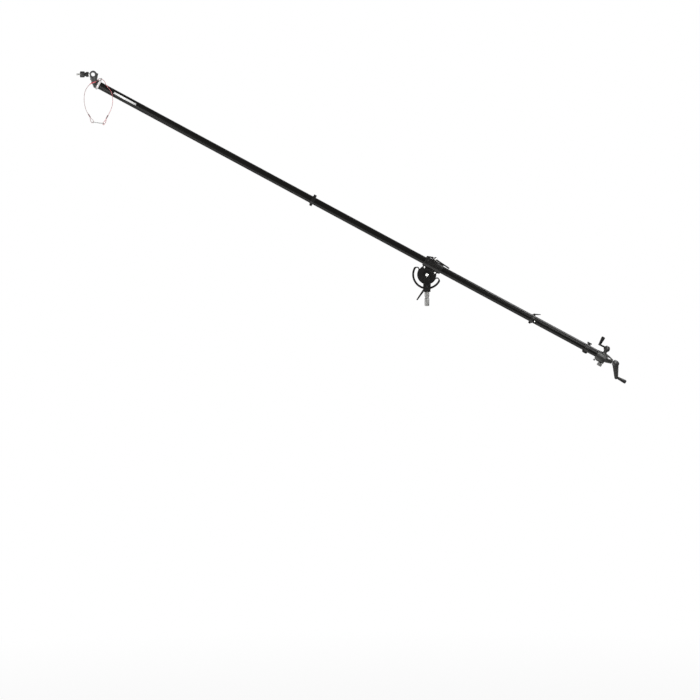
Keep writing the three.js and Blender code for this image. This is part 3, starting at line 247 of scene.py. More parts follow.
# Safety cable: a steel wire rope in clear red plastic, 0.78 m long, threaded through the eye on
# the nylon ring. Each end turns back into a pressed sleeve to make a small loop.
cable_radius = 1.5 * mm
cable_steps = 6
cable_sides = 16
strand_pitch = 7 * mm
strand_count = 6
strand_depth = 0.2 * mm
cable_route = [
    (-2050.2, -27.7, 1069.6), (-2048.7, -28.1, 1066.2), (-2048.8, -29.2, 1060.6), (-2044.5, -27.6, 1041.2),
    (-2036, -26, 1031.4), (-2027.6, -26, 1035),
    (-2030.6, -26, 1047), (-2045.3, -26, 1061.8), (-2053.8, -26, 1075.4), (-2062.3, -26, 1089),
    (-2073.9, -26, 1111.7), (-2082.5, -26, 1145.9), (-2085, -26, 1183.1), (-2079.5, -26, 1220.3),
    (-2065.5, -26, 1248.4), (-2042.3, -26, 1271.5), (-2010, -25.5, 1283.4), (-2000, -21, 1293.5),
    (-1993.5, -9, 1300.5), (-1986.6, -1, 1299.8), (-1981.1, 0, 1296.8), (-1975.4, -1, 1293.7),
    (-1967, -8, 1289), (-1958, -17.5, 1277), (-1948.3, -24, 1257.5), (-1928.8, -26.5, 1234.3),
    (-1917.2, -26.5, 1211.8), (-1911.7, -26, 1180), (-1912.9, -26, 1145.9), (-1922.7, -26, 1111.7),
    (-1937.3, -26, 1082.3), (-1945.3, -26, 1068.4), (-1953.3, -26, 1054.5), (-1962, -26, 1041),
    (-1973.4, -26, 1028), (-1967, -27, 1019.5), (-1957.5, -29, 1031), (-1951.2, -29.6, 1050),
    (-1950.4, -28.2, 1058.4), (-1948.8, -27.7, 1062.3),
]
body_of = {
    node: body for body, members in frame["record"]["behaviour"]["bodies"].items() for node in members
}
slot_of = {part["node"]: part["material_slot"] for part in frame["record"]["subparts"]}


def between(before, start, finish, after, share):
    """The point a share of the way from start to finish on the smooth curve through all four."""
    knots = [0]
    for near, far in ((before, start), (start, finish), (finish, after)):
        knots.append(knots[-1] + (far - near).length ** 0.5)
    at = knots[1] + (knots[2] - knots[1]) * share
    line = [before, start, finish, after]
    for span in (1, 2):
        reach = [(at - knots[k]) / (knots[k + span] - knots[k]) for k in range(len(line) - 1)]
        line = [near.lerp(far, part) for near, far, part in zip(line, line[1:], reach)]
    return line[0].lerp(line[1], share)


def smooth_route(points, steps):
    ends = [2 * points[0] - points[1], *points, 2 * points[-1] - points[-2]]
    spans = zip(ends, ends[1:], ends[2:], ends[3:])
    return [between(*span, step / steps) for span in spans for step in range(steps)] + [points[-1]]


def wire(name, points, radius, sides, material, closed=False):
    """A round wire along the points, as a curve with its thickness."""
    curve = bpy.data.curves.new(name, "CURVE")
    curve.dimensions = "3D"
    curve.bevel_depth = radius
    curve.bevel_resolution = sides // 4
    curve.use_fill_caps = True
    spline = curve.splines.new("POLY")
    spline.points.add(len(points) - 1)
    spline.use_cyclic_u = closed
    for knot, point in zip(spline.points, points):
        knot.co = (*point, 1)
    curve.materials.append(material)
    made = bpy.data.objects.new(name, curve)
    bpy.context.scene.collection.objects.link(made)
    return made


def length_of(points):
    return sum((far - near).length for near, far in zip(points, points[1:]))


def goes_with(piece, node):
    """Lets a small extra piece ride on the body of a CAD node."""
    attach(piece, body_of[node])
    return piece


def stands_for(piece, node):
    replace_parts(goes_with(piece, node), node)
    return piece


cable_line = smooth_route([Vector(point) * mm for point in cable_route], cable_steps)
cable_length = length_of(cable_line)
red_sheath, red_shader, red_place = shader(
    "red_coated_wire", {"Coat Weight": 0.6, "Coat Roughness": 0.12, "Specular IOR Level": 0.4},
)
along_wire = red_place.tree.nodes.new("ShaderNodeTexCoord")
split = red_place.tree.nodes.new("ShaderNodeSeparateXYZ")
red_place.tree.links.new(along_wire.outputs["UV"], split.inputs[0])
lengthwise = Socket(red_place.tree, split.outputs["X"])
round_about = Socket(red_place.tree, split.outputs["Y"])
strand_turns = cable_length / strand_pitch
twist = (lengthwise * strand_turns + round_about) * (2 * pi * strand_count)
strands = twist.maths("SINE", twist) * 0.5 + 0.5
clear_end = lengthwise.clamped(0.3, 0.62)
pale_wire = strands.blended(colour(0.09, 0.022, 0.024), colour(0.3, 0.11, 0.11))
vivid_wire = strands.blended(colour(0.15, 0.002, 0.007), colour(0.46, 0.007, 0.026))
feed(red_shader, Base_Color=clear_end.blended(pale_wire, vivid_wire), Roughness=strands * 0.15 + 0.3)
ridges = {"Height": strands, "Strength": 0.35, "Distance": strand_depth}
feed(red_shader, Normal=strands.node("ShaderNodeBump", inputs=ridges))
cable = wire("safety_cable_coated", cable_line, cable_radius, cable_sides, red_sheath)
stands_for(cable, "safety_cable")

# Cable guard: a thicker sleeve of the same red plastic, shrunk on the cable where it would rub
# on the neck.
guard_radius = 2.9 * mm
guard_reach = (-2052 * mm, -2012 * mm)
guard_foot = 1260 * mm


def noise(place, scale, detail=4.0, stretch=(1, 1, 1), turn=0):
    """A noise of so many cells to the metre, turned about y and stretched."""
    turned = place.node(
        "ShaderNodeMapping", inputs={"Vector": place, "Rotation": (0, turn, 0), "Scale": stretch},
    )
    pattern = {"Vector": turned, "Scale": scale, "Detail": detail}
    return place.node("ShaderNodeTexNoise", inputs=pattern)


def mottled(name, constants, scale, low, high, roughness, detail=4.0):
    """A material whose colour and roughness both wander with one noise."""
    material, principled, place = shader(name, constants)
    cloud = noise(place, scale, detail)
    least, most = roughness
    feed(principled, Base_Color=cloud.blended(low, high), Roughness=cloud * (most - least) + least)
    return material


guarded = [spot for spot in cable_line if guard_reach[0] < spot.x < guard_reach[1] and spot.z > guard_foot]
guard_red = mottled(
    "red_shrink_sleeve", {"Coat Weight": 0.5, "Coat Roughness": 0.15, "Specular IOR Level": 0.3},
    240.0, colour(0.34, 0.004, 0.014), colour(0.66, 0.02, 0.05), (0.3, 0.5), 3.0,
)
guard = goes_with(wire("cable_guard", guarded, guard_radius, cable_sides, guard_red), "safety_cable")

# Pressed sleeves: short dark red ferrules, rounded at both ends and crimped in three bands
# that grip the wire and its turned-back tail.
weld = 0.005 * mm
round_steps = 64
smooth_below = radians(35)
axis_turns = {
    "x": Matrix.Rotation(pi / 2, 4, "Y"),
    "y": Matrix.Rotation(-pi / 2, 4, "X"),
    "z": Matrix.Identity(4),
}


def finished(name, maker, space, material, ease=0):
    """Makes a piece of a bmesh at its place, faces outwards, its hard edges rounded by ease."""
    maker.transform(space)
    bmesh.ops.remove_doubles(maker, verts=maker.verts, dist=weld)
    bmesh.ops.recalc_face_normals(maker, faces=maker.faces)
    mesh = bpy.data.meshes.new(name)
    maker.to_mesh(mesh)
    maker.free()
    for face in mesh.polygons:
        face.use_smooth = True
    mesh.materials.append(material)
    made = bpy.data.objects.new(name, mesh)
    bpy.context.scene.collection.objects.link(made)
    if ease:
        rounding = made.modifiers.new("eased_edges", "BEVEL")
        rounding.width = ease * mm
        rounding.segments = 3
        rounding.limit_method = "ANGLE"
        rounding.angle_limit = smooth_below
        rounding.use_clamp_overlap = False
        rounding.harden_normals = True
    else:
        mesh.set_sharp_from_angle(angle=smooth_below)
    return made


def spun(profile, axis="z", steps=round_steps):
    """A bmesh turned round an axis from (radius, height) pairs in millimetres."""
    lathe = bmesh.new()
    line = [lathe.verts.new((radius * mm, 0, height * mm)) for radius, height in profile]
    edges = [lathe.edges.new(pair) for pair in zip(line, line[1:])]
    bmesh.ops.spin(
        lathe, geom=line + edges, cent=(0, 0, 0), axis=(0, 0, 1), dvec=(0, 0, 0),
        angle=2 * pi, steps=steps, use_merge=True, use_duplicate=False,
    )
    lathe.transform(axis_turns[axis])
    return lathe


def tube_wall(outer, inner, start, end):
    """The closed profile of a plain ring or tube."""
    return [(inner, start), (outer, start), (outer, end), (inner, end), (inner, start)]


crimp_half = 11
crimp_radius = 3.6
crimp_bore = 1.8
crimp_waist = 3.1
crimp_pitch = 6
crimp_ease = 0.7
band_half = 1.7
crimps = {
    "left": ((-2053.8, -26, 1075.4), (-2062.3, -26, 1089)),
    "right": ((-1945.3, -26, 1068.4), (-1953.3, -26, 1054.5)),
}
crimp_profile = [(crimp_bore, -crimp_half), (crimp_radius, -crimp_half)]
for middle in (-crimp_pitch, 0, crimp_pitch):
    crimp_profile += [(crimp_radius, middle - band_half), (crimp_waist, middle - band_half + crimp_ease)]
    crimp_profile += [(crimp_waist, middle + band_half - crimp_ease), (crimp_radius, middle + band_half)]
crimp_profile += [(crimp_radius, crimp_half), (crimp_bore, crimp_half), (crimp_bore, -crimp_half)]
sleeve_red = mottled(
    "dark_red_sleeve", {"Coat Weight": 0.3, "Coat Roughness": 0.2, "Specular IOR Level": 0.3},
    260.0, colour(0.05, 0.004, 0.006), colour(0.13, 0.01, 0.016), (0.3, 0.5), 3.0,
)
sleeve_steps = 32
sleeve_ease = 0.3
for side, (middle, aim) in crimps.items():
    heading = (Vector(aim) - Vector(middle)).to_track_quat("Z", "Y").to_matrix().to_4x4()
    space = Matrix.Translation(Vector(middle) * mm) @ heading
    turned = spun(crimp_profile, steps=sleeve_steps)
    sleeve = finished(f"cable_sleeve_{side}", turned, space, sleeve_red, sleeve_ease)
    stands_for(sleeve, f"cable_crimp_{side}")

# Snap hook: an oval of plated steel rod that joins both cable loops, gone dull with handling,
# with a straight sprung gate in its near side.
hook_left = Vector((-2034.5, -26, 1036.45)) * mm
hook_right = Vector((-1964.9, -26, 1026.4)) * mm
hook_half_width = 6 * mm
hook_wire = 2 * mm
hook_sides = 24
gate_length = 24 * mm
gate_clearance = 0.6 * mm
gate_radius = 1.7 * mm
hook_gap = 0.3 * mm
hook_bend_steps = 12
hook_heading = hook_right - hook_left
hook_angle = atan2(hook_heading.z, hook_heading.x)
hook_space = Matrix.Translation((hook_left + hook_right) / 2) @ Matrix.Rotation(-hook_angle, 4, "Y")
straight_half = hook_heading.length / 2 - hook_half_width
hook_points = [Vector((gate_length / 2 + hook_gap, -hook_half_width, 0))]
for end, start in ((1, -pi / 2), (-1, pi / 2)):
    for step in range(hook_bend_steps + 1):
        angle = start + pi * step / hook_bend_steps
        reach = end * straight_half + hook_half_width * cos(angle)
        hook_points.append(Vector((reach, hook_half_width * sin(angle), 0)))
hook_points.append(Vector((-gate_length / 2 - hook_gap, -hook_half_width, 0)))
dull_zinc = mottled(
    "handled_zinc", {"Metallic": 1}, 220.0,
    colour(0.06, 0.063, 0.06), colour(0.16, 0.165, 0.16), (0.25, 0.5),
)
hook_line = [hook_space @ point for point in hook_points]
snap_hook = stands_for(wire("snap_hook_rod", hook_line, hook_wire, hook_sides, dull_zinc), "snap_hook")
gate_half = (gate_length - gate_clearance) / 2
gate_line = [hook_space @ Vector((end * gate_half, -hook_half_width, 0)) for end in (-1, 1)]
snap_gate = wire("snap_hook_bar", gate_line, gate_radius, hook_sides, dull_zinc)
stands_for(snap_gate, "snap_hook_gate")
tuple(cable_line[0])

# Boom tubes: three lengths of 45 mm aluminium tube, drawn, anodised black and sealed, with
# eased ends that meet inside the clamp collars.
tube_outer = 22.5
tube_inner = 20
tube_ease = 0.8
tube_gap = 0.15
tube_steps = 96
tubes = {"front_tube": (-2302, -828), "main_tube": (-828, 692), "rear_tube": (692, 1142)}
anodised, anodised_shader, anodised_place = shader(
    "black_anodised_tube", {"Metallic": 0, "Specular IOR Level": 0.06},
)
drawn = noise(anodised_place, 900.0, 2.0, (0.004, 1, 1), -tilt)
patches = noise(anodised_place, 9.0, 5.0, (0.4, 1, 1), -tilt)
scratches = noise(anodised_place, 320.0, 3.0, (0.03, 1, 1), -tilt)
scuffs = scratches.clamped(0.66, 0.8) * patches.clamped(0.45, 0.7)
shade = (drawn * 0.5 + patches * 0.5).blended(colour(0.002, 0.0019, 0.0017), colour(0.0065, 0.0062, 0.0054))
feed(anodised_shader, Base_Color=scuffs.blended(shade, colour(0.07, 0.068, 0.064)))
feed(anodised_shader, Roughness=drawn * 0.12 + patches * 0.08 + 0.22)
for name, (start, end) in tubes.items():
    wall = tube_wall(tube_outer, tube_inner, start + tube_gap, end - tube_gap)
    tube = finished(f"{name}_anodised", spun(wall, "x", tube_steps), boom_space, anodised, tube_ease)
    stands_for(tube, name)

# Bare label strip: a blank white film, stuck along the near side of the front tube. It is laid
# round the tube as a row of narrow faces and given its thickness.
strip_start = -2203
strip_end = -2052
strip_width = 12
strip_angle = radians(9)
strip_steps = 8
strip_lift = 0.12
film_thickness = 0.1
strip_radius = tube_outer + strip_lift
strip_spread = strip_width / strip_radius
strip = bmesh.new()
edge = []
for step in range(strip_steps + 1):
    angle = strip_angle - strip_spread / 2 + strip_spread * step / strip_steps
    spot = (strip_start, -strip_radius * cos(angle), strip_radius * sin(angle))
    edge.append(strip.verts.new(Vector(spot) * mm))
rim = [strip.edges.new(pair) for pair in zip(edge, edge[1:])]
run = bmesh.ops.extrude_edge_only(strip, edges=rim)
far_side = [item for item in run["geom"] if isinstance(item, bmesh.types.BMVert)]
bmesh.ops.translate(strip, verts=far_side, vec=((strip_end - strip_start) * mm, 0, 0))
film, film_shader, film_place = shader("white_film", {"Roughness": 0.4})
faint = noise(film_place, 60.0)
feed(film_shader, Base_Color=faint.blended(colour(0.7, 0.7, 0.69), colour(0.84, 0.84, 0.83)))
label = finished("label_strip", strip, boom_space, film)
label.modifiers.new("film_thickness", "SOLIDIFY").thickness = film_thickness * mm
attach(label, "boom")

# Castings: aluminium under black powder coat, pale on the edges where it is partly worn and partly
# painted with a highlight, for everything that holds a tube, a shaft or a lever. Turned bosses
# and bores keep their true circles.
flat_below = radians(1)
round_cuts = 3
widest_facet_share = 0.62
least_round = 2.5 * mm
# Width of the pale edge band: partly rubbed-through wear, partly a painted highlight on the rims.
rim_wear_and_highlight_reach = 2 * mm
grit_depth = 0.15 * mm
pivot_height = 104
lock_height = 33.5
crank_along = 1182
front_joint = -828
rear_joint = 692
end_collar_along = 1073
joint_ear_rise = 29
cam_rise = 40
ear_drop = 34
ear_along = 36
head_along = -2368
head_rise = 40
head_place = Matrix.Translation((head_along * mm, 0, head_rise * mm))
stud_space = boom_space @ head_place @ Matrix.Rotation(-tilt, 4, "Y")
bridge_end = -2341
bridge_foot = 50


def on_boom(along, rise, axis, side=0):
    """The space of something on the boom, its own z lying along one of the boom's axes."""
    return boom_space @ Matrix.Translation((along * mm, side * mm, rise * mm)) @ axis_turns[axis]


bores = {
    "upright": Matrix.Identity(4),
    "pivot": Matrix.Translation((0, 0, pivot_height * mm)) @ axis_turns["y"],
    "lock": Matrix.Translation((0, 0, lock_height * mm)) @ axis_turns["y"],
    "boom": on_boom(0, 0, "x"),
    "front_seat": on_boom(front_joint, 0, "z"),
    "end_seat": on_boom(end_collar_along, 0, "z"),
    "joint_ear": on_boom(rear_joint, joint_ear_rise, "y"),
    "cam": on_boom(0, cam_rise, "y"),
    "ear_front": on_boom(-ear_along, -ear_drop, "y"),
    "ear_rear": on_boom(ear_along, -ear_drop, "y"),
    "crank": on_boom(crank_along, 0, "z"),
    "head": on_boom(head_along, head_rise, "y"),
    "stud": stud_space @ axis_turns["x"],
}


def rounded_off(maker, bore):
    """Cuts the facets of every round about an axis finer, out to the circle they stand for."""
    into = bore.inverted()
    rims = []
    for edge in maker.edges:
        near, far = [into @ end.co for end in edge.verts]
        radii = [hypot(spot.x, spot.y) for spot in (near, far)]
        level = abs(near.z - far.z) < weld and abs(radii[0] - radii[1]) < weld
        if level and radii[0] > least_round and (near - far).length < widest_facet_share * radii[0]:
            rims.append(edge)
    reach = {edge: hypot(*(into @ edge.verts[0].co).xy) for edge in rims}
    if not rims:
        return
    cut = bmesh.ops.subdivide_edges(maker, edges=rims, cuts=round_cuts)
    radii_there = sorted(set(reach.values()))
    for item in cut["geom_inner"]:
        if isinstance(item, bmesh.types.BMVert):
            spot = into @ item.co
            flat = hypot(spot.x, spot.y)
            radius = min((r for r in radii_there if r > flat - weld), default=flat)
            item.co = bore @ Vector((spot.x * radius / flat, spot.y * radius / flat, spot.z))


def regraded(maker, bore, radii):
    """Moves everything about an axis outwards or inwards, from each listed radius to its new one."""
    into = bore.inverted()
    for corner in maker.verts:
        spot = into @ corner.co
        flat = hypot(spot.x, spot.y)
        for (inner, new_inner), (outer, new_outer) in zip(radii, radii[1:]):
            if inner * mm - weld <= flat <= outer * mm + weld:
                share = (flat / mm - inner) / (outer - inner)
                scale = (new_inner + share * (new_outer - new_inner)) * mm / flat
                corner.co = bore @ Vector((spot.x * scale, spot.y * scale, spot.z))
                break


regrades = {
    "quadrant_plate": ("pivot", ((70.5, 70.5), (81, 78), (88, 90.3))),
    "slot_bush": ("lock", ((5.3, 5.3), (10, 8.3))),
    "tilt_hub": ("head", ((10, 12), (13.9, 13.9))),
}


def drawn_back(maker, along, above):
    """Draws all that stands above a height on the boom back to one place along it."""
    into = boom_space.inverted()
    for corner in maker.verts:
        spot = into @ corner.co
        if spot.x > along * mm and spot.z > above * mm:
            corner.co = boom_space @ Vector((along * mm, spot.y, spot.z))


def softened(node, material, ease, *turned_about):
    """A finished copy of a piece: triangles welded, flats made whole, rounds and edges eased."""
    maker = bmesh.new()
    maker.from_mesh(nodes[node].data)
    bmesh.ops.remove_doubles(maker, verts=maker.verts, dist=weld)
    bmesh.ops.dissolve_limit(maker, angle_limit=flat_below, verts=maker.verts, edges=maker.edges)
    for bore in turned_about:
        rounded_off(maker, bores[bore])
    if node in regrades:
        axis, radii = regrades[node]
        regraded(maker, bores[axis], radii)
    if node == "head_neck":
        drawn_back(maker, bridge_end, bridge_foot)
    piece = finished(f"{node}_finished", maker, Matrix.Identity(4), material, ease)
    return stands_for(piece, node)


def powder_coat(name, gloss, low, high, rim_wear_and_highlight_colour):
    """Black powder coat between two depths of grey, pale on its outer edges: partly rubbed through, partly
    a painted highlight.
    """
    material, principled, place = shader(name, {"Metallic": 0, "Specular IOR Level": gloss})
    rounded = place.node("ShaderNodeBevel", {"samples": 6}, inputs={"Radius": rim_wear_and_highlight_reach})
    flat = place.node("ShaderNodeNewGeometry", out="Normal")
    facing = place.node(
        "ShaderNodeVectorMath", {"operation": "DOT_PRODUCT"}, inputs={0: rounded, 1: flat}, out="Value",
    )
    haze = noise(place, 24.0, 5.0)
    grit = noise(place, 1400.0, 2.0)
    # Edge mask: the rims turn pale, partly as rubbed-through wear and partly as a painted highlight.
    rim_wear_and_highlight = (1 - facing).clamped(0.02, 0.18) * haze.clamped(0.36, 0.58)
    feed(principled, Base_Color=rim_wear_and_highlight.blended(haze.blended(low, high), rim_wear_and_highlight_colour))
    feed(principled, Roughness=haze * 0.15 + 0.32)
    dimples = {"Height": grit, "Strength": 0.25, "Distance": grit_depth}
    feed(principled, Normal=place.node("ShaderNodeBump", inputs=dimples))
    return material


# The last colour of each coat is its pale rim colour: partly worn metal, partly painted highlight.
casting = powder_coat(
    "black_powder_coat", 0.1,
    colour(0.003, 0.0028, 0.0025), colour(0.01, 0.0095, 0.0086), colour(0.15, 0.147, 0.136),
)
grey_casting = powder_coat(
    "grey_powder_coat_rims_worn_and_highlit", 0.2,
    colour(0.007, 0.0072, 0.0064), colour(0.021, 0.0215, 0.019), colour(0.2, 0.202, 0.188),
)
black_castings = {
    "fork_bracket": (0.8, "pivot", "lock"), "quadrant_plate": (0.8, "pivot", "lock"),
    "saddle_body": (0.7, "boom", "ear_front", "ear_rear"), "saddle_cap": (0.7, "boom", "cam"),
    "tilt_lock_lever": (0.7, "lock"), "cam_lever": (0.5, "cam"), "lever_catch": (0.5,),
    "front_joint_collar": (0.6, "boom", "front_seat"), "rear_joint_collar": (0.6, "boom", "joint_ear"),
    "rear_joint_lever": (0.4, "joint_ear"), "end_collar": (0, "boom", "end_seat"),
}
grey_castings = {
    "head_neck": (0.7, "head", "boom"), "tilt_hub": (0, "head", "stud"),
    "gearbox_housing": (0.9, "boom", "crank"), "gearbox_nose": (0.6, "boom"),
    "pan_crank_arm": (0.8, "crank"), "tilt_crank_arm": (0.8, "boom"),
}
for node, (ease, *turned_about) in black_castings.items():
    softened(node, casting, ease, *turned_about)
for node, (ease, *turned_about) in grey_castings.items():
    softened(node, grey_casting, ease, *turned_about)

# Crank domes: the smooth turned hub of each crank arm, which lies over the facets of its solid.
# Each profile is a curve through the widths that the hub has at a few heights.
dome_steps = 5
domes = {
    "pan_crank": (19.5, 31, 42, on_boom(crank_along, 0, "z"), (
        (0.56, 0), (0.66, 0.2), (0.96, 0.34), (1, 0.52), (0.86, 0.77), (0.5, 0.96), (0, 1),
    )),
    "tilt_crank": (20, 1253, 40, boom_space @ axis_turns["x"], (
        (0.65, 0), (0.95, 0.15), (1, 0.5), (0.82, 0.82), (0.45, 1), (0, 1),
    )),
}


def shaped(shares, radius, foot, height):
    """A profile from its shares of a radius and of a height."""
    return [(across * radius, foot + up * height) for across, up in shares]


for name, (radius, seat, height, space, shares) in domes.items():
    knots = [Vector((across, 0, up)) for across, up in shaped(shares, radius, seat, height)]
    line = [(max(spot.x, 0), spot.z) for spot in smooth_route(knots, dome_steps)]
    dome = spun([(0, seat), *line])
    goes_with(finished(f"{name}_dome", dome, space, grey_casting), f"{name}_arm")

# Finishes of the fittings: moulded plastics, bare, plated and blackened steel, brass and nylon,
# each mottled a little, and a finish for every material slot of the frame.
plastic, plastic_shader, plastic_place = shader(
    "black_moulded_plastic", {"Metallic": 0, "Specular IOR Level": 0.1},
)
moulded = noise(plastic_place, 40.0).blended(colour(0.0025, 0.0025, 0.0023), colour(0.008, 0.008, 0.0076))
speckle = noise(plastic_place, 900.0, 2.0)
feed(plastic_shader, Base_Color=moulded, Roughness=speckle * 0.2 + 0.35)
grey, grey_shader, grey_place = shader("grey_moulded_plastic", {"Metallic": 0, "Specular IOR Level": 0.3})
moulded_grey = noise(grey_place, 60.0).blended(colour(0.09, 0.09, 0.087), colour(0.17, 0.17, 0.165))
feed(grey_shader, Base_Color=moulded_grey, Roughness=noise(grey_place, 800.0, 2.0) * 0.2 + 0.38)
steel = mottled(
    "turned_steel", {"Metallic": 1}, 700.0,
    colour(0.09, 0.09, 0.087), colour(0.15, 0.15, 0.146), (0.42, 0.57), 2.0,
)
bright_zinc = mottled(
    "bright_zinc", {"Metallic": 1}, 140.0,
    colour(0.62, 0.62, 0.6), colour(0.88, 0.88, 0.86), (0.16, 0.36),
)
turned_zinc = mottled(
    "turned_zinc", {"Metallic": 1}, 420.0,
    colour(0.2, 0.2, 0.195), colour(0.44, 0.44, 0.43), (0.2, 0.4),
)
black_steel = mottled(
    "blackened_steel", {"Metallic": 0, "Specular IOR Level": 0.16}, 300.0,
    colour(0.003, 0.003, 0.003), colour(0.01, 0.0098, 0.0095), (0.28, 0.48),
)
brass = mottled(
    "bearing_brass", {"Metallic": 1}, 90.0,
    colour(0.2, 0.14, 0.06), colour(0.5, 0.37, 0.17), (0.28, 0.48),
)
nylon = mottled(
    "white_nylon", {"Metallic": 0}, 45.0,
    colour(0.5, 0.465, 0.46), colour(0.7, 0.675, 0.67), (0.35, 0.55), 6.0,
)
finishes = {
    "anodised_black": anodised, "cast_black": casting, "bright_zinc": bright_zinc, "steel": steel,
    "black_steel": black_steel, "brass_bush": brass, "white_nylon": nylon, "black_plastic": plastic,
    "grey_plastic": grey, "red_coating": red_sheath,
}

# Turned and threaded fittings: zinc plated button-head bolts at the pivot, ears and cam, and
# blackened ones at the lock and the saddle's flanges, each with a hexagon socket.
bolts = {
    "pivot_bolt": (6, 10, 6, 3, bright_zinc), "saddle_bolt_front": (4, 5.9, 5, 2.6, bright_zinc),
    "saddle_bolt_rear": (4, 5.9, 5, 2.6, bright_zinc), "cam_pin": (5, 7, 5, 3, bright_zinc),
    "lock_bolt": (5, 8.5, 5, 4, black_steel),
}
socket_share = 0.35
crown_shares = ((0, 0.78), (0.08, 0.86), (0.28, 0.95), (0.55, 1), (1, 1))
bolt_steps = 48
bolt_ease = 0.25
tip_ease = 0.8


def socket_bolt(shank, head, height, socket, crown, tip):
    """A button-headed bolt along z, its head towards -z with a hexagon socket sunk in it."""
    profile = [(0, crown + socket_share * height), (socket, crown + socket_share * height), (socket, crown)]
    profile += [(across * head, crown + up * height) for up, across in crown_shares]
    profile += [(shank, crown + height), (shank, tip - tip_ease), (shank - tip_ease, tip), (0, tip)]
    maker = spun(profile, steps=bolt_steps)
    side = pi / 3
    for corner in maker.verts:
        in_head = corner.co.z < (crown + height) * mm
        if in_head and abs(hypot(corner.co.x, corner.co.y) - socket * mm) < weld:
            lean = atan2(corner.co.y, corner.co.x) % side - side / 2
            corner.co.xy *= cos(side / 2) / cos(lean)
    return maker


for node, (shank, head, height, socket, metal) in bolts.items():
    low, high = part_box(node)
    crossing = (low + high) / 2
    space = Matrix.Translation((crossing.x, 0, crossing.z)) @ axis_turns["y"]
    bolt = socket_bolt(shank, head, height, socket, low.y / mm, high.y / mm)
    stands_for(finished(f"{node}_turned", bolt, space, metal, bolt_ease), node)
cap_screws = {"front": (-38, -37.5), "rear": (48, 37.5)}
cap_screw = (3.5, 5.6, 7, 2.9, -16.3, 9)
for place, (along, side) in cap_screws.items():
    space = on_boom(along, 0, "z", side) @ Matrix.Rotation(pi, 4, "X")
    screw = finished(f"cap_screw_{place}_turned", socket_bolt(*cap_screw), space, black_steel, bolt_ease)
    stands_for(screw, f"cap_screw_{place}")
fittings = {
    "pivot_nut": (bright_zinc, 0.5, "pivot"), "pressure_pad": (steel, 0.5, "boom"),
    "friction_washer_front": (brass, 0.2, "pivot"), "friction_washer_rear": (brass, 0.2, "pivot"),
    "slot_bush": (brass, 0.2, "lock"), "nose_bearing": (brass, 0.2, "boom"),
    "stand_spigot": (steel, 0.4, "upright"),
}
for node, (metal, ease, turned_about) in fittings.items():
    softened(node, metal, ease, turned_about)

# Knobs and grips: black moulded plastic, fluted where fingers turn them, on stems; the drag knob
# below the gearbox is of grey plastic, and the end collar has a plain tee.
knob_stem = 3
knob_ease = 1.5
knob_steps = 96
moulded_ease = 0.5
flutes = 8
flute_share = 0.09
brake_along = 1188
knobs = {
    "front_joint_knob": (10, 29.3, 36.5, 23.1, on_boom(front_joint, 0, "z"), plastic),
    "brake_knob": (15, 42.3, 60.3, 23.5, on_boom(brake_along, 0, "z") @ Matrix.Rotation(pi, 4, "X"), grey),
}


def knob_line(stem, radius, ease, foot, seat, top):
    """The profile of an eased round knob on its stem."""
    return [
        (0, foot), (stem, foot), (stem, seat), (radius - ease, seat), (radius, seat + ease),
        (radius, top - ease), (radius - ease, top), (0, top),
    ]


def fluted(maker, count, depth_share, beyond):
    """Presses shallow grooves along z into everything that lies beyond a radius."""
    for corner in maker.verts:
        if hypot(corner.co.x, corner.co.y) > beyond * mm:
            wave = (1 - cos(count * atan2(corner.co.y, corner.co.x))) / 2
            corner.co.xy *= 1 - depth_share * wave
    return maker


for node, (radius, seat, top, foot, space, material) in knobs.items():
    knob = spun(knob_line(knob_stem, radius, knob_ease, foot, seat, top), steps=knob_steps)
    fluted(knob, flutes, flute_share, radius - knob_ease / 2)
    stands_for(finished(f"{node}_fluted", knob, space, material, moulded_ease), node)
tee_foot = 31
tee_seat = 29.6
tee_rise_share = 0.84
tee_spread_share = 1.2
tee = bmesh.new()
tee.from_mesh(nodes["end_collar_knob"].data)
bmesh.ops.remove_doubles(tee, verts=tee.verts, dist=weld)
tee.transform(bores["end_seat"].inverted())
for corner in tee.verts:
    if corner.co.z > tee_foot * mm - weld:
        corner.co.z = tee_seat * mm + (corner.co.z - tee_foot * mm) * tee_rise_share
        corner.co.xy *= tee_spread_share
stands_for(finished("end_collar_tee", tee, bores["end_seat"], plastic, knob_ease), "end_collar_knob")
grip_radius = 11.5
grip_bore = 3.8
grip_cap = 4
grip_ease = 0.3
grip_shares = (
    (0.68, 0), (0.735, 0.012), (0.745, 0.05), (0.7, 0.065), (0.7, 0.08), (0.755, 0.1), (0.77, 0.18),
    (0.81, 0.3), (0.86, 0.43), (0.92, 0.56), (0.97, 0.68), (0.995, 0.79), (0.99, 0.87), (0.94, 0.945),
    (0.8, 0.985), (0.5, 1), (0, 1),
)
pan_reach = 62
pan_turn = radians(30)
tilt_reach = 80
tilt_turn = radians(24)
pan_space = on_boom(crank_along, 0, "z") @ Matrix.Rotation(pan_turn, 4, "Z")
pan_space = pan_space @ Matrix.Translation((-pan_reach * mm, 0, 0))
tilt_space = boom_space @ Matrix.Rotation(tilt_turn, 4, "X")
tilt_space = tilt_space @ Matrix.Translation((0, 0, -tilt_reach * mm)) @ axis_turns["x"]
grips = {"pan_crank_grip": (63.3, 111, pan_space), "tilt_crank_grip": (1327, 1385, tilt_space)}
for node, (root, end, space) in grips.items():
    profile = [(grip_bore, root), *shaped(grip_shares, grip_radius, root, end - root)]
    profile += [(0, end - grip_cap), (grip_bore, end - grip_cap), (grip_bore, root)]
    stands_for(finished(f"{node}_moulded", spun(profile), space, plastic, grip_ease), node)

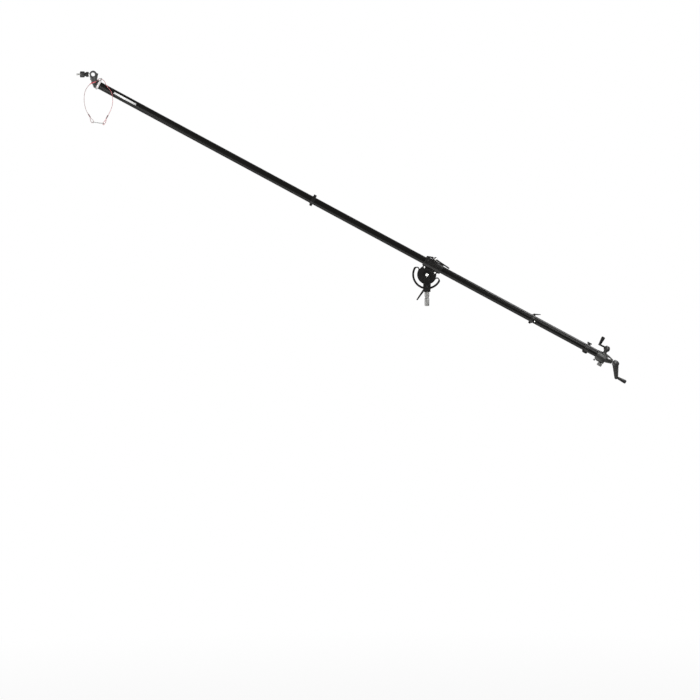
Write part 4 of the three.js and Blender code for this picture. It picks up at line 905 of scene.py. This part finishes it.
# Mounting stud of the head: a zinc plated stud with a fluted plastic collar, a black hexagon
# nut and a thinner threaded end, behind it the white nylon ring with its cable eye.
thread_tip = 100
thread_foot = 80
thread_pitch = 1.5
thread_crest = 5.5
thread_root = 4.6
stud_radius = 8
pin_radius = 6
pin_foot = 14
stud_foot = 18.3
collar_tip = 50
collar_seat = 43
collar_foot = 26
collar_bore = 8.3
collar_neck = 11.5
collar_shoulder = 13.5
collar_rim = 15.5
collar_ease = 2
collar_steps = 128
collar_flutes = 16
collar_flute_share = 0.06
nut_ease = 0.9
ring_ease = 0.6
stud_axis = stud_space @ axis_turns["x"]
stud_line = [(0, -thread_tip), (thread_root - tip_ease, -thread_tip), (thread_root, -thread_tip + tip_ease)]
turn_count = round((thread_tip - thread_foot) / thread_pitch) - 1
for turn in range(turn_count):
    start = -thread_tip + tip_ease + turn * thread_pitch
    stud_line += [(thread_crest, start + thread_pitch / 2), (thread_root, start + thread_pitch)]
stud_line += [(thread_crest, -thread_foot), (thread_crest, -collar_tip), (stud_radius, -collar_tip)]
stud_line += [(stud_radius, -stud_foot), (pin_radius, -stud_foot), (pin_radius, -pin_foot), (0, -pin_foot)]
stands_for(finished("head_stud_threaded", spun(stud_line), stud_axis, turned_zinc), "head_stud")
collar = spun([
    (collar_bore, -collar_tip), (collar_neck, -collar_tip), (collar_neck, -collar_seat),
    (collar_shoulder, -collar_seat), (collar_rim, collar_ease - collar_seat),
    (collar_rim, -collar_foot - collar_ease), (collar_shoulder, -collar_foot),
    (collar_bore, -collar_foot), (collar_bore, -collar_tip),
], steps=collar_steps)
fluted(collar, collar_flutes, collar_flute_share, collar_rim - collar_ease / 2)
stands_for(finished("stud_collar_fluted", collar, stud_axis, plastic, moulded_ease), "stud_collar")
softened("stud_nut", black_steel, nut_ease)
softened("head_ring", nylon, ring_ease, "boom")
eye_radius = 5.2
eye_wire = 2.1 * mm
eye_sides = 16
eye_steps = 32
eye_along = -2310
eye_rise = 39
foot_radius = 4.2
foot_drop = 7.7
foot_height = 3.7
foot_ease = 0.2
foot_shares = ((0, 0), (1, 0), (1, 0.297), (0.619, 0.568), (0.524, 1), (0, 1))
eye_space = on_boom(eye_along, eye_rise, "z")
eye_line = []
for step in range(eye_steps):
    angle = 2 * pi * step / eye_steps
    eye_line.append(eye_space @ Vector((0, eye_radius * mm * cos(angle), eye_radius * mm * sin(angle))))
stands_for(wire("cable_eye_wire", eye_line, eye_wire, eye_sides, black_steel, closed=True), "cable_eye")
eye_foot = spun(shaped(foot_shares, foot_radius, -foot_drop, foot_height), steps=eye_steps)
goes_with(finished("cable_eye_foot", eye_foot, eye_space, black_steel, foot_ease), "cable_eye")

# Small screws: cross-recessed ones that close the neck's throat, a thumb screw on the belly of
# the gearbox, and the rivet that keeps the rear tube from turning.
small_steps = 32
throat_along = -2363.5
throat_rise = -4
throat_half = 19
throat_radius = 6.5
throat_height = 4
throat_shares = ((0, 0), (1, 0), (1, 0.65), (0.831, 0.925), (0.215, 1), (0, 0.7))
throat_ease = 0.3
for place, side in (("near", -1), ("far", 1)):
    head = spun(shaped(throat_shares, throat_radius, 0, throat_height), steps=small_steps)
    facing = Matrix.Rotation(0 if side > 0 else pi, 4, "X")
    space = on_boom(throat_along, throat_rise, "y", side * throat_half) @ facing
    goes_with(finished(f"throat_screw_{place}", head, space, bright_zinc, throat_ease), "head_neck")
thumb_along = 1147
thumb_rise = -37.5
thumb_lean = radians(206.6)
thumb_stem = 2.5
thumb_radius = 6
thumb_ease = 1
thumb_foot = -3
thumb_seat = 0.4
thumb_top = 9
thumb_steps = 48
thumb_flutes = 12
thumb_flute_share = 0.1
thumb_line = knob_line(thumb_stem, thumb_radius, thumb_ease, thumb_foot, thumb_seat, thumb_top)
thumb = spun(thumb_line, steps=thumb_steps)
fluted(thumb, thumb_flutes, thumb_flute_share, thumb_radius - thumb_ease / 2)
thumb_space = on_boom(thumb_along, thumb_rise, "z") @ Matrix.Rotation(thumb_lean, 4, "Y")
goes_with(finished("belly_thumb_screw", thumb, thumb_space, grey, throat_ease), "gearbox_housing")
rivet_along = 712
rivet_angle = radians(104.4)
rivet_radius = 3.5
rivet_foot = -0.6
rivet_height = 2.6
rivet_shares = ((0, 0), (1, 0), (1, 0.346), (0.829, 0.692), (0.486, 0.923), (0, 1))
rivet = spun(shaped(rivet_shares, rivet_radius, rivet_foot, rivet_height), steps=small_steps)
rivet_place = Matrix.Translation((rivet_along * mm, 0, tube_outer * mm))
rivet_space = boom_space @ Matrix.Rotation(rivet_angle, 4, "X") @ rivet_place
goes_with(finished("rear_tube_rivet", rivet, rivet_space, bright_zinc), "rear_tube")

# Every solid of the frame: the finish of its material slot, for the pieces inside the tubes and
# the gearbox, which nothing above stands for.
for node, slot in slot_of.items():
    mesh = nodes[node].data
    mesh.materials.clear()
    mesh.materials.append(finishes[slot])
    for face in mesh.polygons:
        face.use_smooth = True
        face.material_index = 0

visual_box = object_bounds()
boxes = {"cad": cad_box, "visual": visual_box}
{name: [list(corner) for corner in box] for name, box in boxes.items()}
